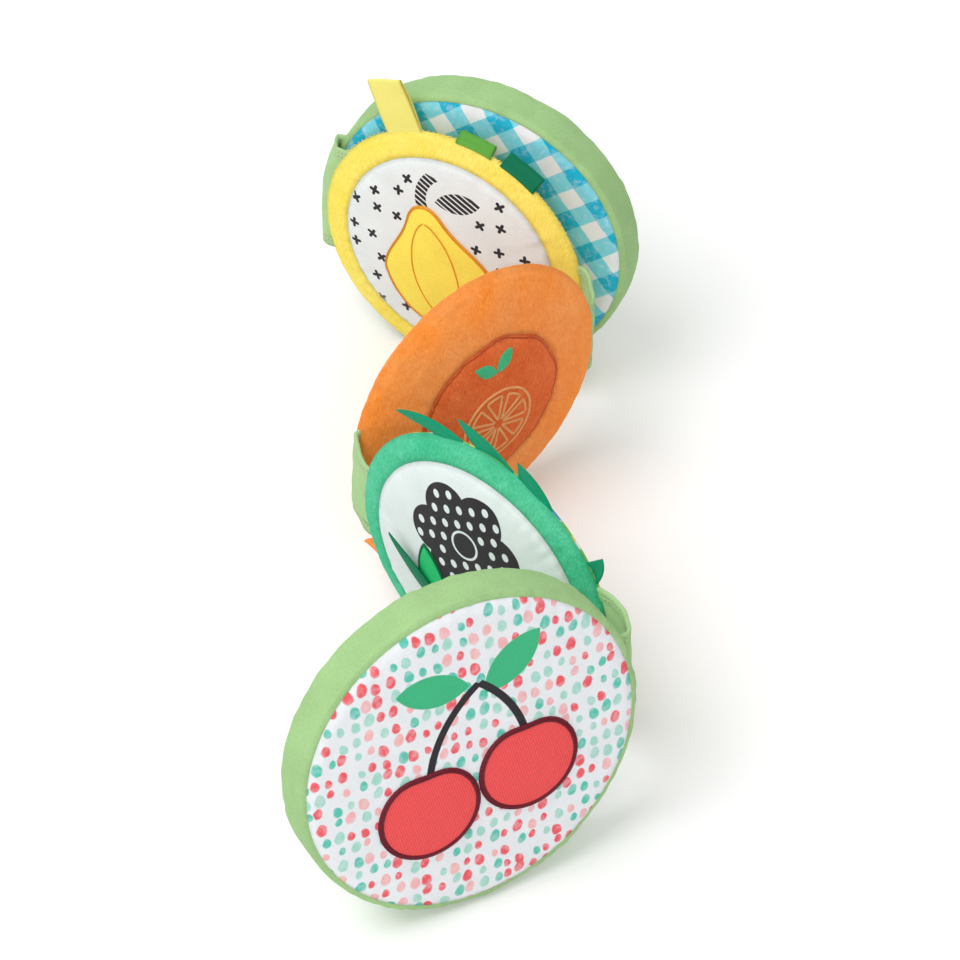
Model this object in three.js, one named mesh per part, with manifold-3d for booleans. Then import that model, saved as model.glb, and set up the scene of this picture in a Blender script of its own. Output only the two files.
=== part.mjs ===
// Tummy time roll: five stuffed fabric discs joined edge to edge by four fabric webs.
// It stands in a zigzag on the rims of its discs, folds into a drum and opens into a line.
// Lengths are millimetres, angles are degrees, +Z is up and -Y is the side that faces a baby.
import * as THREE from "three";
import { mergeVertices } from "three/addons/utils/BufferGeometryUtils.js";
import Module from "manifold-3d";

const wasm = await Module();
wasm.setup();

// Cloth and sewing
const CLOTH = 1.5;
const CLEARANCE = 0.3;
const SEAM_DIP = 1.2;
const SEAM_DIP_WIDTH = 5;
const FLOOR_FLAT = 0.5;

// The two end discs: flat cushions with a gusset round the rim
const END_RADIUS = 100;
const END_THICKNESS = 27;
const END_CORNER = 5.5;
const END_CROWN = 2;

// The three middle discs: pillows with a panel set into a plush ring
const MIDDLE_RADIUS = 90;
const GREEN_THICKNESS = 24;
const ORANGE_THICKNESS = 34;
const YELLOW_THICKNESS = 18;
const GREEN_PANEL_RADIUS = 75;
const ORANGE_PANEL_RADIUS = 51.5;
const YELLOW_PANEL_RADIUS = 73;

// How the discs stand: which way each one faces, and how far the front one leans back
const FRONT_HEADING = 27.7;
const GREEN_HEADING = -40.8;
const ORANGE_HEADING = 39.8;
const YELLOW_HEADING = -28;
const BACK_HEADING = -23.3;
const FRONT_LEAN = 10;

// Fold lines: how far each lies outside a disc's rim, and beside that disc's middle plane
const FOLD_1_REACH = [4.7, 13.1];
const FOLD_1_STAND = [14.5, 6.5];
const FOLD_2_REACH = [12.3, 6.6];
const FOLD_2_STAND = [7, 11];
const FOLD_3_REACH = [16.6, 14.1];
const FOLD_3_STAND = [11, 6];
const FOLD_4_REACH = [3.1, 1.6];
const FOLD_4_STAND = [4.5, 14.8];

// Webs
const WEB_THICKNESS = 1.6;
const WEB_FOOT = 62;
const WEB_TOP = { front: 130, green: 113, orange: 113, yellow: 140 };
const WEB_TUCK = 14;
const FRONT_WEB_SEAT = 3;
const BACK_WEB_SEAT = 7;
const WEB_BULGE = { front: 6, green: 5.5, orange: 4, yellow: 6 };

// Patches sewn on the pictures
const PATCH_THICKNESS = 1.2;
const PEAR_THICKNESS = 3;
const CHERRY_RADIUS = 28;
const CHERRY_DIMPLE_DEPTH = 3.6;
const CHERRY_DIMPLE_ANGLE = 26;
const CHERRY_PLACES = [[-29, -25], [30, -17]];
const PEAR_WIDTH = 76;
const PEAR_HEIGHT = 92;
const PEAR_NECK_SHARE = 0.48;
const PEAR_NECK_FROM = -0.1;
const PEAR_NECK_TO = 0.8;
const PEAR_ROUNDNESS = 0.85;
const PEAR_PLACE = [-6, -8];
const PEAR_TILT = 14;
const STALK_TOP_WIDTH = 13;
const STALK_FOOT_WIDTH = 18;
const STALK_LENGTH = 46;
const STALK_PLACE = [0, -10];
const STALK_TILT = -8;
const LEAF_LENGTH = 62;
const LEAF_WIDTH = 15;
const LEAF_SHOULDER = 25;
const LEAF_STEPS = 8;
const LEAF_PLACE = [-12, -38];
const LEAF_TILT = 48;

// Satin leaves in the green disc's rim: angles where the base starts and ends and where the tip is,
// and how far the tip rises above the rim
const TAG_THICKNESS = 0.8;
const TAG_SHOULDER = 0.95;
const TAG_HOLLOW = 0.35;
const LEAF_TAGS = [
  { start: 101, end: 115, tip: 127, rise: 16 },
  { start: 78, end: 95, tip: 102.5, rise: 13 },
  { start: 59, end: 75.5, tip: 77, rise: 11 },
  { start: 29, end: 37.5, tip: 38, rise: 12 },
];
const ORANGE_TAG = { start: 200, end: 207, tip: 202, rise: 8 };

// Ribbon loops in the yellow disc's rim, each at an angle on the rim and tilted backwards
const RIBBON_LAYER = 0.7;
const RIBBON_SLIT = 0.9;
const YELLOW_RIBBON = { angle: 112, width: 25, height: 35, tilt: 0 };
const LIGHT_GREEN_RIBBON = { angle: 80.5, width: 24, height: 11, tilt: 50 };
const DARK_GREEN_RIBBON = { angle: 60, width: 26, height: 13, tilt: 35 };

// Facets
const ROUND_STEPS = 36;
const FILLING_ROUND_STEPS = ROUND_STEPS / 2;
const CROWN_STEPS = 3;
const CORNER_STEPS = 2;
const RING_STEPS = 4;
const BACK_STEPS = 5;
const OUTLINE_STEPS = 28;
const WEB_STEPS = 10;

const SKIN = CLOTH + CLEARANCE;
const radians = THREE.MathUtils.degToRad;
const finish = (color, roughness) => new THREE.MeshStandardMaterial({ color, roughness, metalness: 0 });

const GUSSET_GREEN = finish("#a3cb88", 0.85);
const PRINT_WHITE = finish("#e4e3ea", 0.7);
const CHERRY_RED = finish("#ee5253", 0.75);
const EMERALD_PLUSH = finish("#3fb083", 0.95);
const SATIN_GREEN = finish("#00926b", 0.45);
const STALK_GREEN = finish("#17b26b", 0.6);
const REAR_PRINT = finish("#8cc653", 0.8);
const ORANGE_PLUSH = finish("#f4843a", 0.95);
const ORANGE_VELOUR = finish("#cf5d2e", 0.9);
const YELLOW_PLUSH = finish("#f2dc55", 0.95);
const PEAR_YELLOW = finish("#f2d94c", 0.75);
const RIBBON_YELLOW = finish("#efe46d", 0.4);
const RIBBON_LIME = finish("#6bb043", 0.4);
const RIBBON_GREEN = finish("#007d58", 0.4);
const GINGHAM_BLUE = finish("#6cc9d8", 0.8);
const STUFFING = finish("#f4f2ec", 1);

// Solids

function toSolid(geometry) {
  geometry.deleteAttribute("normal");
  geometry.deleteAttribute("uv");
  const merged = mergeVertices(geometry, 1e-4);
  const corners = merged.index.array;
  const triangles = [];
  for (let i = 0; i < corners.length; i += 3) {
    const [a, b, c] = [corners[i], corners[i + 1], corners[i + 2]];
    if (a !== b && b !== c && c !== a) {
      triangles.push(a, b, c);
    }
  }
  const vertProperties = new Float32Array(merged.attributes.position.array);
  return new wasm.Manifold(new wasm.Mesh({ numProp: 3, vertProperties, triVerts: new Uint32Array(triangles) }));
}

function toMesh(name, solid, material) {
  const mesh = solid.getMesh();
  const geometry = new THREE.BufferGeometry();
  geometry.setAttribute("position", new THREE.BufferAttribute(mesh.vertProperties, 3));
  geometry.setIndex(new THREE.BufferAttribute(mesh.triVerts, 1));
  geometry.computeVertexNormals();
  const piece = new THREE.Mesh(geometry, material);
  piece.name = name;
  return piece;
}

// Turns a profile of [radius, depth] points about the disc's axis; depth counts towards the front
function turned(profile, steps = ROUND_STEPS) {
  const points = profile.map(([radius, depth]) => new THREE.Vector2(radius, -depth));
  if (THREE.ShapeUtils.area(points) < 0) {
    points.reverse();
  }
  if (points[0].x > 0 || points[points.length - 1].x > 0) {
    points.push(points[0].clone());
  }
  return toSolid(new THREE.LatheGeometry(points, steps));
}

// Profiles of an end disc

const endHalf = END_THICKNESS / 2;
const endSeam = END_RADIUS - END_CORNER;

function crownDepth(radius, inset) {
  return endHalf + END_CROWN * (1 - (radius / endSeam) ** 2) - inset;
}

function crownArc(edge, inset) {
  const points = [];
  for (let i = 0; i <= CROWN_STEPS; i += 1) {
    const radius = (edge * i) / CROWN_STEPS;
    points.push([radius, crownDepth(radius, inset)]);
  }
  return points;
}

function gussetArc(inset) {
  const points = [];
  for (const side of [1, -1]) {
    for (let i = 0; i <= CORNER_STEPS; i += 1) {
      const step = side > 0 ? i : CORNER_STEPS - i;
      const angle = (step / CORNER_STEPS) * (Math.PI / 2);
      const reach = END_CORNER - inset;
      points.push([endSeam + reach * Math.sin(angle), side * (endHalf - END_CORNER + reach * Math.cos(angle))]);
    }
  }
  return points;
}

const mirrored = (profile) => profile.map(([radius, depth]) => [radius, -depth]);

function endPanel(side) {
  const edge = endSeam - CLEARANCE;
  const profile = [...crownArc(edge, 0), ...crownArc(edge, CLOTH).reverse()];
  return turned(side > 0 ? profile : mirrored(profile));
}

function endGusset() {
  return turned([...gussetArc(0), ...gussetArc(CLOTH).reverse()]);
}

function endBlank(inset, steps) {
  const front = crownArc(endSeam, inset).slice(0, -1);
  return turned([...front, ...gussetArc(inset), ...mirrored(front).reverse()], steps);
}

// Profiles of a middle disc

const MIDDLE = {
  green: { half: GREEN_THICKNESS / 2, panel: GREEN_PANEL_RADIUS },
  orange: { half: ORANGE_THICKNESS / 2, panel: ORANGE_PANEL_RADIUS },
  yellow: { half: YELLOW_THICKNESS / 2, panel: YELLOW_PANEL_RADIUS },
};

function pillowPoint(disc, angle, inset, dip) {
  const radius = (MIDDLE_RADIUS - inset) * Math.cos(angle);
  const seam = dip * Math.exp(-(((radius - disc.panel) / SEAM_DIP_WIDTH) ** 2));
  const rise = (disc.half - CLEARANCE / 2 - inset) * Math.sin(angle);
  return [radius, CLEARANCE / 2 + rise - Math.min(seam, rise / 2)];
}

// Points over the pillow between two radii, from the outer one inwards
function pillowArc(disc, outer, inner, inset, steps, dip = SEAM_DIP) {
  const reach = MIDDLE_RADIUS - inset;
  const first = Math.acos(Math.min(1, outer / reach));
  const last = Math.acos(Math.min(1, inner / reach));
  const points = [];
  for (let i = 0; i <= steps; i += 1) {
    points.push(pillowPoint(disc, first + ((last - first) * i) / steps, inset, dip));
  }
  points[steps][0] = inner;
  return points;
}

function pillowRing(disc) {
  const inner = disc.panel + CLEARANCE / 2;
  const outside = pillowArc(disc, MIDDLE_RADIUS, inner, 0, RING_STEPS);
  const inside = pillowArc(disc, MIDDLE_RADIUS - CLOTH, inner, CLOTH, RING_STEPS);
  return turned([...outside, ...inside.reverse()]);
}

function pillowPanel(disc) {
  const edge = disc.panel - CLEARANCE / 2;
  const outside = pillowArc(disc, edge, 0, 0, CROWN_STEPS);
  const inside = pillowArc(disc, edge, 0, CLOTH, CROWN_STEPS);
  return turned([...outside, ...inside.reverse()]);
}

function pillowBack(disc) {
  const outside = pillowArc(disc, MIDDLE_RADIUS, 0, 0, BACK_STEPS, 0);
  const inside = pillowArc(disc, MIDDLE_RADIUS - CLOTH, 0, CLOTH, BACK_STEPS, 0);
  return turned(mirrored([...outside, ...inside.reverse()]));
}

function pillowBlank(disc, inset, steps) {
  const rim = MIDDLE_RADIUS - inset;
  const ring = pillowArc(disc, rim, disc.panel, inset, RING_STEPS);
  const panel = pillowArc(disc, disc.panel, 0, inset, CROWN_STEPS).slice(1);
  const back = mirrored(pillowArc(disc, rim, 0, inset, BACK_STEPS, 0));
  return turned([...[...ring, ...panel].reverse(), ...back], steps);
}

// Patches follow the crown of the panel that they are sewn on

function extruded(shape, depth) {
  return new THREE.ExtrudeGeometry(shape, { depth, bevelEnabled: false, curveSegments: OUTLINE_STEPS / 4 });
}

function patch(outline, lower, upper) {
  const block = extruded(new THREE.Shape(outline), END_RADIUS);
  block.rotateX(Math.PI / 2);
  return toSolid(block).intersect(turned([...lower, ...upper]));
}

function endPatch(outline, thickness) {
  const lower = crownArc(endSeam, -CLEARANCE);
  const upper = crownArc(endSeam, -CLEARANCE - thickness);
  return patch(outline, lower, upper.reverse());
}

function pillowPatch(disc, outline, lift, thickness) {
  const lower = pillowArc(disc, disc.panel, 0, -lift, CROWN_STEPS);
  const upper = pillowArc(disc, disc.panel, 0, -lift - thickness, CROWN_STEPS);
  return patch(outline, lower, upper.reverse());
}

// Turns and moves an outline that is drawn upright about its own middle
function placed(points, [x, y], tilt) {
  const middle = new THREE.Vector2(0, 0);
  return points.map((point) => point.rotateAround(middle, radians(tilt)).add(new THREE.Vector2(x, y)));
}

function cherryOutline() {
  const points = [];
  for (let i = 0; i < OUTLINE_STEPS; i += 1) {
    const angle = (i / OUTLINE_STEPS) * 2 * Math.PI;
    const fromTop = Math.atan2(Math.cos(angle), Math.sin(angle));
    const dimple = Math.exp(-((fromTop / radians(CHERRY_DIMPLE_ANGLE)) ** 2));
    const reach = CHERRY_RADIUS - CHERRY_DIMPLE_DEPTH * dimple;
    points.push(new THREE.Vector2(reach * Math.cos(angle), reach * Math.sin(angle)));
  }
  return points;
}

function pearOutline() {
  const points = [];
  for (let i = 0; i < OUTLINE_STEPS; i += 1) {
    const angle = (i / OUTLINE_STEPS) * 2 * Math.PI;
    const up = THREE.MathUtils.smoothstep(Math.sin(angle), PEAR_NECK_FROM, PEAR_NECK_TO);
    const neck = THREE.MathUtils.lerp(1, PEAR_NECK_SHARE, up);
    const across = Math.sign(Math.cos(angle)) * Math.abs(Math.cos(angle)) ** PEAR_ROUNDNESS * neck;
    points.push(new THREE.Vector2((PEAR_WIDTH / 2) * across, (PEAR_HEIGHT / 2) * Math.sin(angle)));
  }
  return points;
}

function stalkOutline() {
  return [
    new THREE.Vector2(-STALK_TOP_WIDTH / 2, 0),
    new THREE.Vector2(-STALK_FOOT_WIDTH / 2, -STALK_LENGTH),
    new THREE.Vector2(STALK_FOOT_WIDTH / 2, -STALK_LENGTH),
    new THREE.Vector2(STALK_TOP_WIDTH / 2, 0),
  ];
}

function leafOutline() {
  const foot = new THREE.Vector2(0, 0);
  const tip = new THREE.Vector2(0, LEAF_LENGTH);
  const left = new THREE.QuadraticBezierCurve(foot, new THREE.Vector2(-LEAF_WIDTH, LEAF_SHOULDER), tip);
  const right = new THREE.QuadraticBezierCurve(tip, new THREE.Vector2(LEAF_WIDTH, LEAF_SHOULDER), foot);
  return [...left.getPoints(LEAF_STEPS).slice(0, -1), ...right.getPoints(LEAF_STEPS).slice(0, -1)].reverse();
}

// Tags and loops in the rim seam

const onRim = (degrees, distance) =>
  new THREE.Vector2(Math.cos(radians(degrees)), Math.sin(radians(degrees))).multiplyScalar(distance);

function rimTag({ start, end, tip, rise }) {
  const base = MIDDLE_RADIUS + CLEARANCE;
  const point = onRim(tip, MIDDLE_RADIUS + rise);
  const shape = new THREE.Shape();
  const foot = onRim(start, base);
  shape.moveTo(foot.x, foot.y);
  const blade = rise - CLEARANCE;
  const shoulder = onRim((start + tip) / 2, base + blade * TAG_SHOULDER);
  shape.quadraticCurveTo(shoulder.x, shoulder.y, point.x, point.y);
  const heel = onRim(end, base);
  const hollow = onRim((end + tip) / 2, base + blade * TAG_HOLLOW);
  shape.quadraticCurveTo(hollow.x, hollow.y, heel.x, heel.y);
  const along = onRim((start + end) / 2, base);
  shape.lineTo(along.x, along.y);
  const tag = extruded(shape, TAG_THICKNESS);
  tag.translate(0, 0, -TAG_THICKNESS / 2);
  tag.rotateX(Math.PI / 2);
  return toSolid(tag);
}

function ribbonLoop({ angle, width, height, tilt }) {
  const slit = RIBBON_SLIT / 2;
  const outer = slit + RIBBON_LAYER;
  const shape = new THREE.Shape();
  shape.moveTo(outer, 0);
  shape.lineTo(outer, height - outer);
  shape.absarc(0, height - outer, outer, 0, Math.PI, false);
  shape.lineTo(-outer, 0);
  shape.lineTo(-slit, 0);
  shape.lineTo(-slit, height - outer);
  shape.absarc(0, height - outer, slit, Math.PI, 0, true);
  shape.lineTo(slit, 0);
  const loop = extruded(shape, width);
  loop.translate(0, 0, -width / 2);
  loop.rotateY(Math.PI / 2);
  loop.rotateX(Math.PI / 2);
  loop.rotateX(-radians(tilt));
  const lift = MIDDLE_RADIUS + CLEARANCE + outer * Math.sin(radians(tilt));
  loop.translate(0, 0, lift);
  loop.rotateY(-radians(angle - 90));
  return toSolid(loop);
}

// Standing places, worked out from fold line to fold line

const FOLDS = [
  { front: "front", rear: "green", side: 1, reach: FOLD_1_REACH, stand: FOLD_1_STAND },
  { front: "green", rear: "orange", side: -1, reach: FOLD_2_REACH, stand: FOLD_2_STAND },
  { front: "orange", rear: "yellow", side: 1, reach: FOLD_3_REACH, stand: FOLD_3_STAND },
  { front: "yellow", rear: "back", side: -1, reach: FOLD_4_REACH, stand: FOLD_4_STAND },
];

function makeDisc(radius, heading, lean = 0, seat = 0) {
  const group = new THREE.Group();
  group.rotation.set(-radians(lean), 0, radians(heading), "ZXY");
  const turn = new THREE.Matrix4().makeRotationFromEuler(group.rotation);
  const right = new THREE.Vector3(1, 0, 0).applyMatrix4(turn);
  const ahead = new THREE.Vector3(0, -1, 0).applyMatrix4(turn);
  return { group, radius, right, ahead, lean: radians(lean), seat };
}

const discs = {
  front: makeDisc(END_RADIUS, FRONT_HEADING, FRONT_LEAN, -FRONT_WEB_SEAT),
  green: makeDisc(MIDDLE_RADIUS, GREEN_HEADING),
  orange: makeDisc(MIDDLE_RADIUS, ORANGE_HEADING),
  yellow: makeDisc(MIDDLE_RADIUS, YELLOW_HEADING),
  back: makeDisc(END_RADIUS, BACK_HEADING, 0, BACK_WEB_SEAT),
};

// From a disc's centre to its fold line, level with the centre
function foldOffset(disc, side, reach, stand) {
  return disc.right.clone().multiplyScalar(side * (disc.radius + reach)).addScaledVector(disc.ahead, stand);
}

// An upright disc rests on its rim; a leaning end disc rests on the rounded front corner of its gusset
function centreHeight(disc) {
  const upright = disc.radius - END_CORNER;
  const leaning = (endHalf - END_CORNER) * Math.sin(disc.lean);
  return upright * Math.cos(disc.lean) + leaning + END_CORNER - FLOOR_FLAT;
}

function standDiscs() {
  const place = (disc, spot) => disc.group.position.set(spot.x, spot.y, centreHeight(disc));
  place(discs.orange, new THREE.Vector3());
  const forward = [FOLDS[1], FOLDS[0]];
  for (const { front, rear, side, reach, stand } of forward) {
    const fold = discs[rear].group.position.clone().add(foldOffset(discs[rear], side, reach[1], stand[1]));
    place(discs[front], fold.sub(foldOffset(discs[front], side, reach[0], -stand[0])));
  }
  const rearward = [FOLDS[2], FOLDS[3]];
  for (const { front, rear, side, reach, stand } of rearward) {
    const fold = discs[front].group.position.clone().add(foldOffset(discs[front], side, reach[0], -stand[0]));
    place(discs[rear], fold.sub(foldOffset(discs[rear], side, reach[1], stand[1])));
  }
  for (const disc of Object.values(discs)) {
    disc.group.updateMatrixWorld(true);
  }
}

// Takes off what reaches below the floor, in the disc's own frame
function standing(disc, solid) {
  const block = new THREE.BoxGeometry(4 * END_RADIUS, 4 * END_RADIUS, END_RADIUS);
  block.translate(disc.group.position.x, disc.group.position.y, -END_RADIUS / 2);
  block.applyMatrix4(disc.group.matrixWorld.clone().invert());
  return solid.subtract(toSolid(block));
}

// Webs: a strip of cloth from rim to rim, cut to the round of both discs

function ribbonShape(centreLine, thickness) {
  const left = [];
  const right = [];
  centreLine.forEach((point, i) => {
    const before = centreLine[Math.max(0, i - 1)];
    const after = centreLine[Math.min(centreLine.length - 1, i + 1)];
    const across = after.clone().sub(before).normalize().rotateAround(new THREE.Vector2(), Math.PI / 2);
    left.push(point.clone().addScaledVector(across, thickness / 2));
    right.push(point.clone().addScaledVector(across, -thickness / 2));
  });
  return new THREE.Shape([...left, ...right.reverse()]);
}

function webSolid({ front, rear, side }) {
  const ends = [discs[front], discs[rear]].map((disc) => {
    const outward = disc.right.clone().multiplyScalar(side);
    const rim = disc.group.position.clone().addScaledVector(outward, disc.radius);
    rim.addScaledVector(disc.ahead, disc.seat);
    return { rim: new THREE.Vector2(rim.x, rim.y), outward: new THREE.Vector2(outward.x, outward.y) };
  });
  const [a, b] = ends;
  const bulge = WEB_BULGE[front];
  const bend = new THREE.CubicBezierCurve(
    a.rim,
    a.rim.clone().addScaledVector(a.outward, bulge),
    b.rim.clone().addScaledVector(b.outward, bulge),
    b.rim,
  );
  const tuckA = a.rim.clone().addScaledVector(a.outward, -WEB_TUCK);
  const tuckB = b.rim.clone().addScaledVector(b.outward, -WEB_TUCK);
  const line = [tuckA, ...bend.getPoints(WEB_STEPS), tuckB];
  const strip = extruded(ribbonShape(line, WEB_THICKNESS), WEB_TOP[front] - WEB_FOOT);
  strip.translate(0, 0, WEB_FOOT);
  let web = toSolid(strip);
  for (const name of [front, rear]) {
    const blank = name in MIDDLE ? pillowBlank(MIDDLE[name], -CLEARANCE) : endBlank(-CLEARANCE);
    web = web.subtract(blank.transform(discs[name].group.matrixWorld.toArray()));
  }
  return web;
}

// Assembly

function fillEndDisc(disc, prefix, frontPanel, rearPanel, panelFinish) {
  disc.group.add(
    toMesh(`${prefix}_filling`, endBlank(SKIN, FILLING_ROUND_STEPS), STUFFING),
    toMesh(`${prefix}_gusset`, standing(disc, endGusset()), GUSSET_GREEN),
    toMesh(frontPanel, endPanel(1), panelFinish),
    toMesh(rearPanel, endPanel(-1), GUSSET_GREEN),
  );
}

function fillMiddleDisc(disc, prefix, ringFinish, panelFinish, backFinish) {
  const sizes = MIDDLE[prefix];
  disc.group.add(
    toMesh(`${prefix}_filling`, pillowBlank(sizes, SKIN, FILLING_ROUND_STEPS), STUFFING),
    toMesh(`${prefix}_ring`, standing(disc, pillowRing(sizes)), ringFinish),
    toMesh(`${prefix}_panel`, pillowPanel(sizes), panelFinish),
    toMesh(`${prefix}_rear_cover`, standing(disc, pillowBack(sizes)), backFinish),
  );
}

function dressFrontDisc(group) {
  const names = ["cherry_left", "cherry_right"];
  names.forEach((name, i) => {
    const outline = placed(cherryOutline(), CHERRY_PLACES[i], 0);
    group.add(toMesh(name, endPatch(outline, PATCH_THICKNESS), CHERRY_RED));
  });
}

function dressGreenDisc(group) {
  const stalk = placed(stalkOutline(), STALK_PLACE, STALK_TILT);
  const leaf = placed(leafOutline(), LEAF_PLACE, LEAF_TILT);
  const overStalk = PATCH_THICKNESS + 2 * CLEARANCE;
  group.add(
    toMesh("flower_stalk", pillowPatch(MIDDLE.green, stalk, CLEARANCE, PATCH_THICKNESS), STALK_GREEN),
    toMesh("flower_leaf", pillowPatch(MIDDLE.green, leaf, overStalk, TAG_THICKNESS), SATIN_GREEN),
    toMesh("orange_tag", rimTag(ORANGE_TAG), ORANGE_PLUSH),
  );
  LEAF_TAGS.forEach((tag, i) => {
    group.add(toMesh(`leaf_tag_${i + 1}`, rimTag(tag), SATIN_GREEN));
  });
}

function dressYellowDisc(group) {
  const pear = placed(pearOutline(), PEAR_PLACE, PEAR_TILT);
  group.add(
    toMesh("pear_patch", pillowPatch(MIDDLE.yellow, pear, CLEARANCE, PEAR_THICKNESS), PEAR_YELLOW),
    toMesh("ribbon_loop_yellow", ribbonLoop(YELLOW_RIBBON), RIBBON_YELLOW),
    toMesh("ribbon_loop_light_green", ribbonLoop(LIGHT_GREEN_RIBBON), RIBBON_LIME),
    toMesh("ribbon_loop_dark_green", ribbonLoop(DARK_GREEN_RIBBON), RIBBON_GREEN),
  );
}

// The origin goes under the middle of the standing toy, on the floor
function centred(toy) {
  const box = new THREE.Box3().setFromObject(toy, true);
  const middle = box.getCenter(new THREE.Vector3());
  toy.position.set(-middle.x, -middle.y, -box.min.z);
  return toy;
}

standDiscs();
fillEndDisc(discs.front, "front", "front_picture_panel", "front_rear_panel", PRINT_WHITE);
fillMiddleDisc(discs.green, "green", EMERALD_PLUSH, PRINT_WHITE, REAR_PRINT);
fillMiddleDisc(discs.orange, "orange", ORANGE_PLUSH, ORANGE_VELOUR, ORANGE_PLUSH);
fillMiddleDisc(discs.yellow, "yellow", YELLOW_PLUSH, PRINT_WHITE, YELLOW_PLUSH);
fillEndDisc(discs.back, "back", "back_gingham_panel", "back_rear_panel", GINGHAM_BLUE);
dressFrontDisc(discs.front.group);
dressGreenDisc(discs.green.group);
dressYellowDisc(discs.yellow.group);

const toy = new THREE.Group();
for (const disc of Object.values(discs)) {
  toy.add(disc.group);
}
for (const fold of FOLDS) {
  toy.add(toMesh(`web_${fold.front}_${fold.rear}`, webSolid(fold), GUSSET_GREEN));
}

export default centred(toy);
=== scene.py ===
"""Looks of a tummy time roll: five stuffed cloth discs joined rim to rim by four folded webs.

Each disc has its own frame: u runs to its right, v runs up and d runs out of its front.
All lengths are metres unless a comment says otherwise.
"""

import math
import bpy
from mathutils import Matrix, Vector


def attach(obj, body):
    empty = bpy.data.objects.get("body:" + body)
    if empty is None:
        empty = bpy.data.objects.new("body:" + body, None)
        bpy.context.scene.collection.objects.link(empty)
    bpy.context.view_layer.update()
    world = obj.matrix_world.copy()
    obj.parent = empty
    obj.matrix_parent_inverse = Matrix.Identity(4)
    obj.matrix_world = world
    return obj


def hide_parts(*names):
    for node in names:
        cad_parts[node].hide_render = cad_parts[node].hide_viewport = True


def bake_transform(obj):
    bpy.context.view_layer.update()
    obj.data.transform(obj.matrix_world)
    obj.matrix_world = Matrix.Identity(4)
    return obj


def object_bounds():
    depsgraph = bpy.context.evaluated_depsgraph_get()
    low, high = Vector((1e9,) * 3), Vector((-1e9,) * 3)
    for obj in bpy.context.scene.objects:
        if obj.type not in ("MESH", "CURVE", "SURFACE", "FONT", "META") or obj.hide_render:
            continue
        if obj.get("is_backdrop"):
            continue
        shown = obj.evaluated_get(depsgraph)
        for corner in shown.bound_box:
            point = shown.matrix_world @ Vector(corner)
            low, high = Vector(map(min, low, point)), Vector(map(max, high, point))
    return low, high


bl_info = {
    "name": "Tummy time roll",
    "version": (1, 0, 0),
    "blender": (4, 5, 0),
    "location": "View3D > Sidebar > Tummy roll",
    "description": "Builds the cloth, plush, stitching and stage of a stuffed tummy time roll",
    "category": "Object",
}

import bpy
import numpy as np
from mathutils import Matrix, Vector
from mathutils.bvhtree import BVHTree

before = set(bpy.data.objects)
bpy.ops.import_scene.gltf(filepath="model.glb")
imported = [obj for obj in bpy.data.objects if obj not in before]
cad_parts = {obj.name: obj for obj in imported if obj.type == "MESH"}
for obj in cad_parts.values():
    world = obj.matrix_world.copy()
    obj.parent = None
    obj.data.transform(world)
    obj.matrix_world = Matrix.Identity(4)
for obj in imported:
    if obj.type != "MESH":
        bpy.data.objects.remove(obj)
CAD_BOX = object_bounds()

MM = 0.001
TURN = 2 * math.pi
FLOOR_GAP = 0.0003
WHITE = (1.0, 1.0, 1.0)
FLAT_MAP = "flat"

# Where each disc stands: centre, the way it faces and how far it leans back, in degrees
PLACES = {
    "front": ((-0.00609, -0.20965, 0.09945), 27.7, 10.0),
    "green": ((0.00617, -0.07605, 0.0895), -40.8, 0.0),
    "orange": ((0.00048, 0.06638, 0.0895), 39.8, 0.0),
    "yellow": ((-0.01376, 0.19724, 0.0895), -28.0, 0.0),
    "back": ((0.00532, 0.21833, 0.0995), -23.3, 0.0),
}

# Rows of cloth points from the front's middle over the rim to the back's middle
PANEL_ROWS = 18
CORNER_ROWS = 4
BAND_ROWS = 5
RING_ROWS = 10
BACK_ROWS = 20
# Cloth points round the rim, in the simulation and in the finished covers
AROUND = 150
FINE_AROUND = 480
# Rows of the finished covers: front panel, band or ring, back
END_FINE_ROWS = (60, 32, 40)
MIDDLE_FINE_ROWS = (52, 40, 54)
STUFFING_ROWS, STUFFING_AROUND = 36, 90
# The innermost row's radius as a share of the panel's
POLE_SHARE = 0.04
SIMULATION_STEPS = 20
CLOTH_SETTINGS = {
    "quality": 5,
    "mass": 0.15,
    "tension_stiffness": 12,
    "compression_stiffness": 6,
    "bending_stiffness": 0.15,
    "air_damping": 2,
    "use_pressure": True,
    "uniform_pressure_force": 4,
    "vertex_group_mass": "sewn",
}
STUFFING_INSET = 3.4 * MM
SEAM_REACH = 2.8 * MM
# Two kinds of small folds beside a seam: height as a share of the pucker, how far they reach, the
# distance over which they rise from the seam, and the fewest and most of them round the rim
FOLDS = [(1.0, 6.0 * MM, 1.5 * MM, 30, 74), (0.85, 16.0 * MM, 3.0 * MM, 9, 26)]
# Longest and shortest tufts of plush
TUFTS = (14.0 * MM, 4.0 * MM)
STITCH_PITCH = 0.85 * MM
WEB_THICKNESS = 1.2 * MM
SATIN_THICKNESS = 0.7 * MM
RIBBON_THICKNESS = 0.5 * MM
HEM_WIDTH = 6.5 * MM


# Sizes and colours that a user can set


def srgb(code):
    """The scene-linear colour of a six-digit screen colour."""
    parts = [int(code[i : i + 2], 16) / 255 for i in (0, 2, 4)]
    return tuple(c / 12.92 if c <= 0.04045 else ((c + 0.055) / 1.055) ** 2.4 for c in parts)


def length(name, description, default):
    return bpy.props.FloatProperty(
        name=name, description=description, default=default, unit="LENGTH", precision=4
    )


def colour(name, description, code):
    return bpy.props.FloatVectorProperty(
        name=name,
        description=description,
        default=srgb(code),
        subtype="COLOR",
        size=3,
        min=0.0,
        max=1.0,
    )


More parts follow.
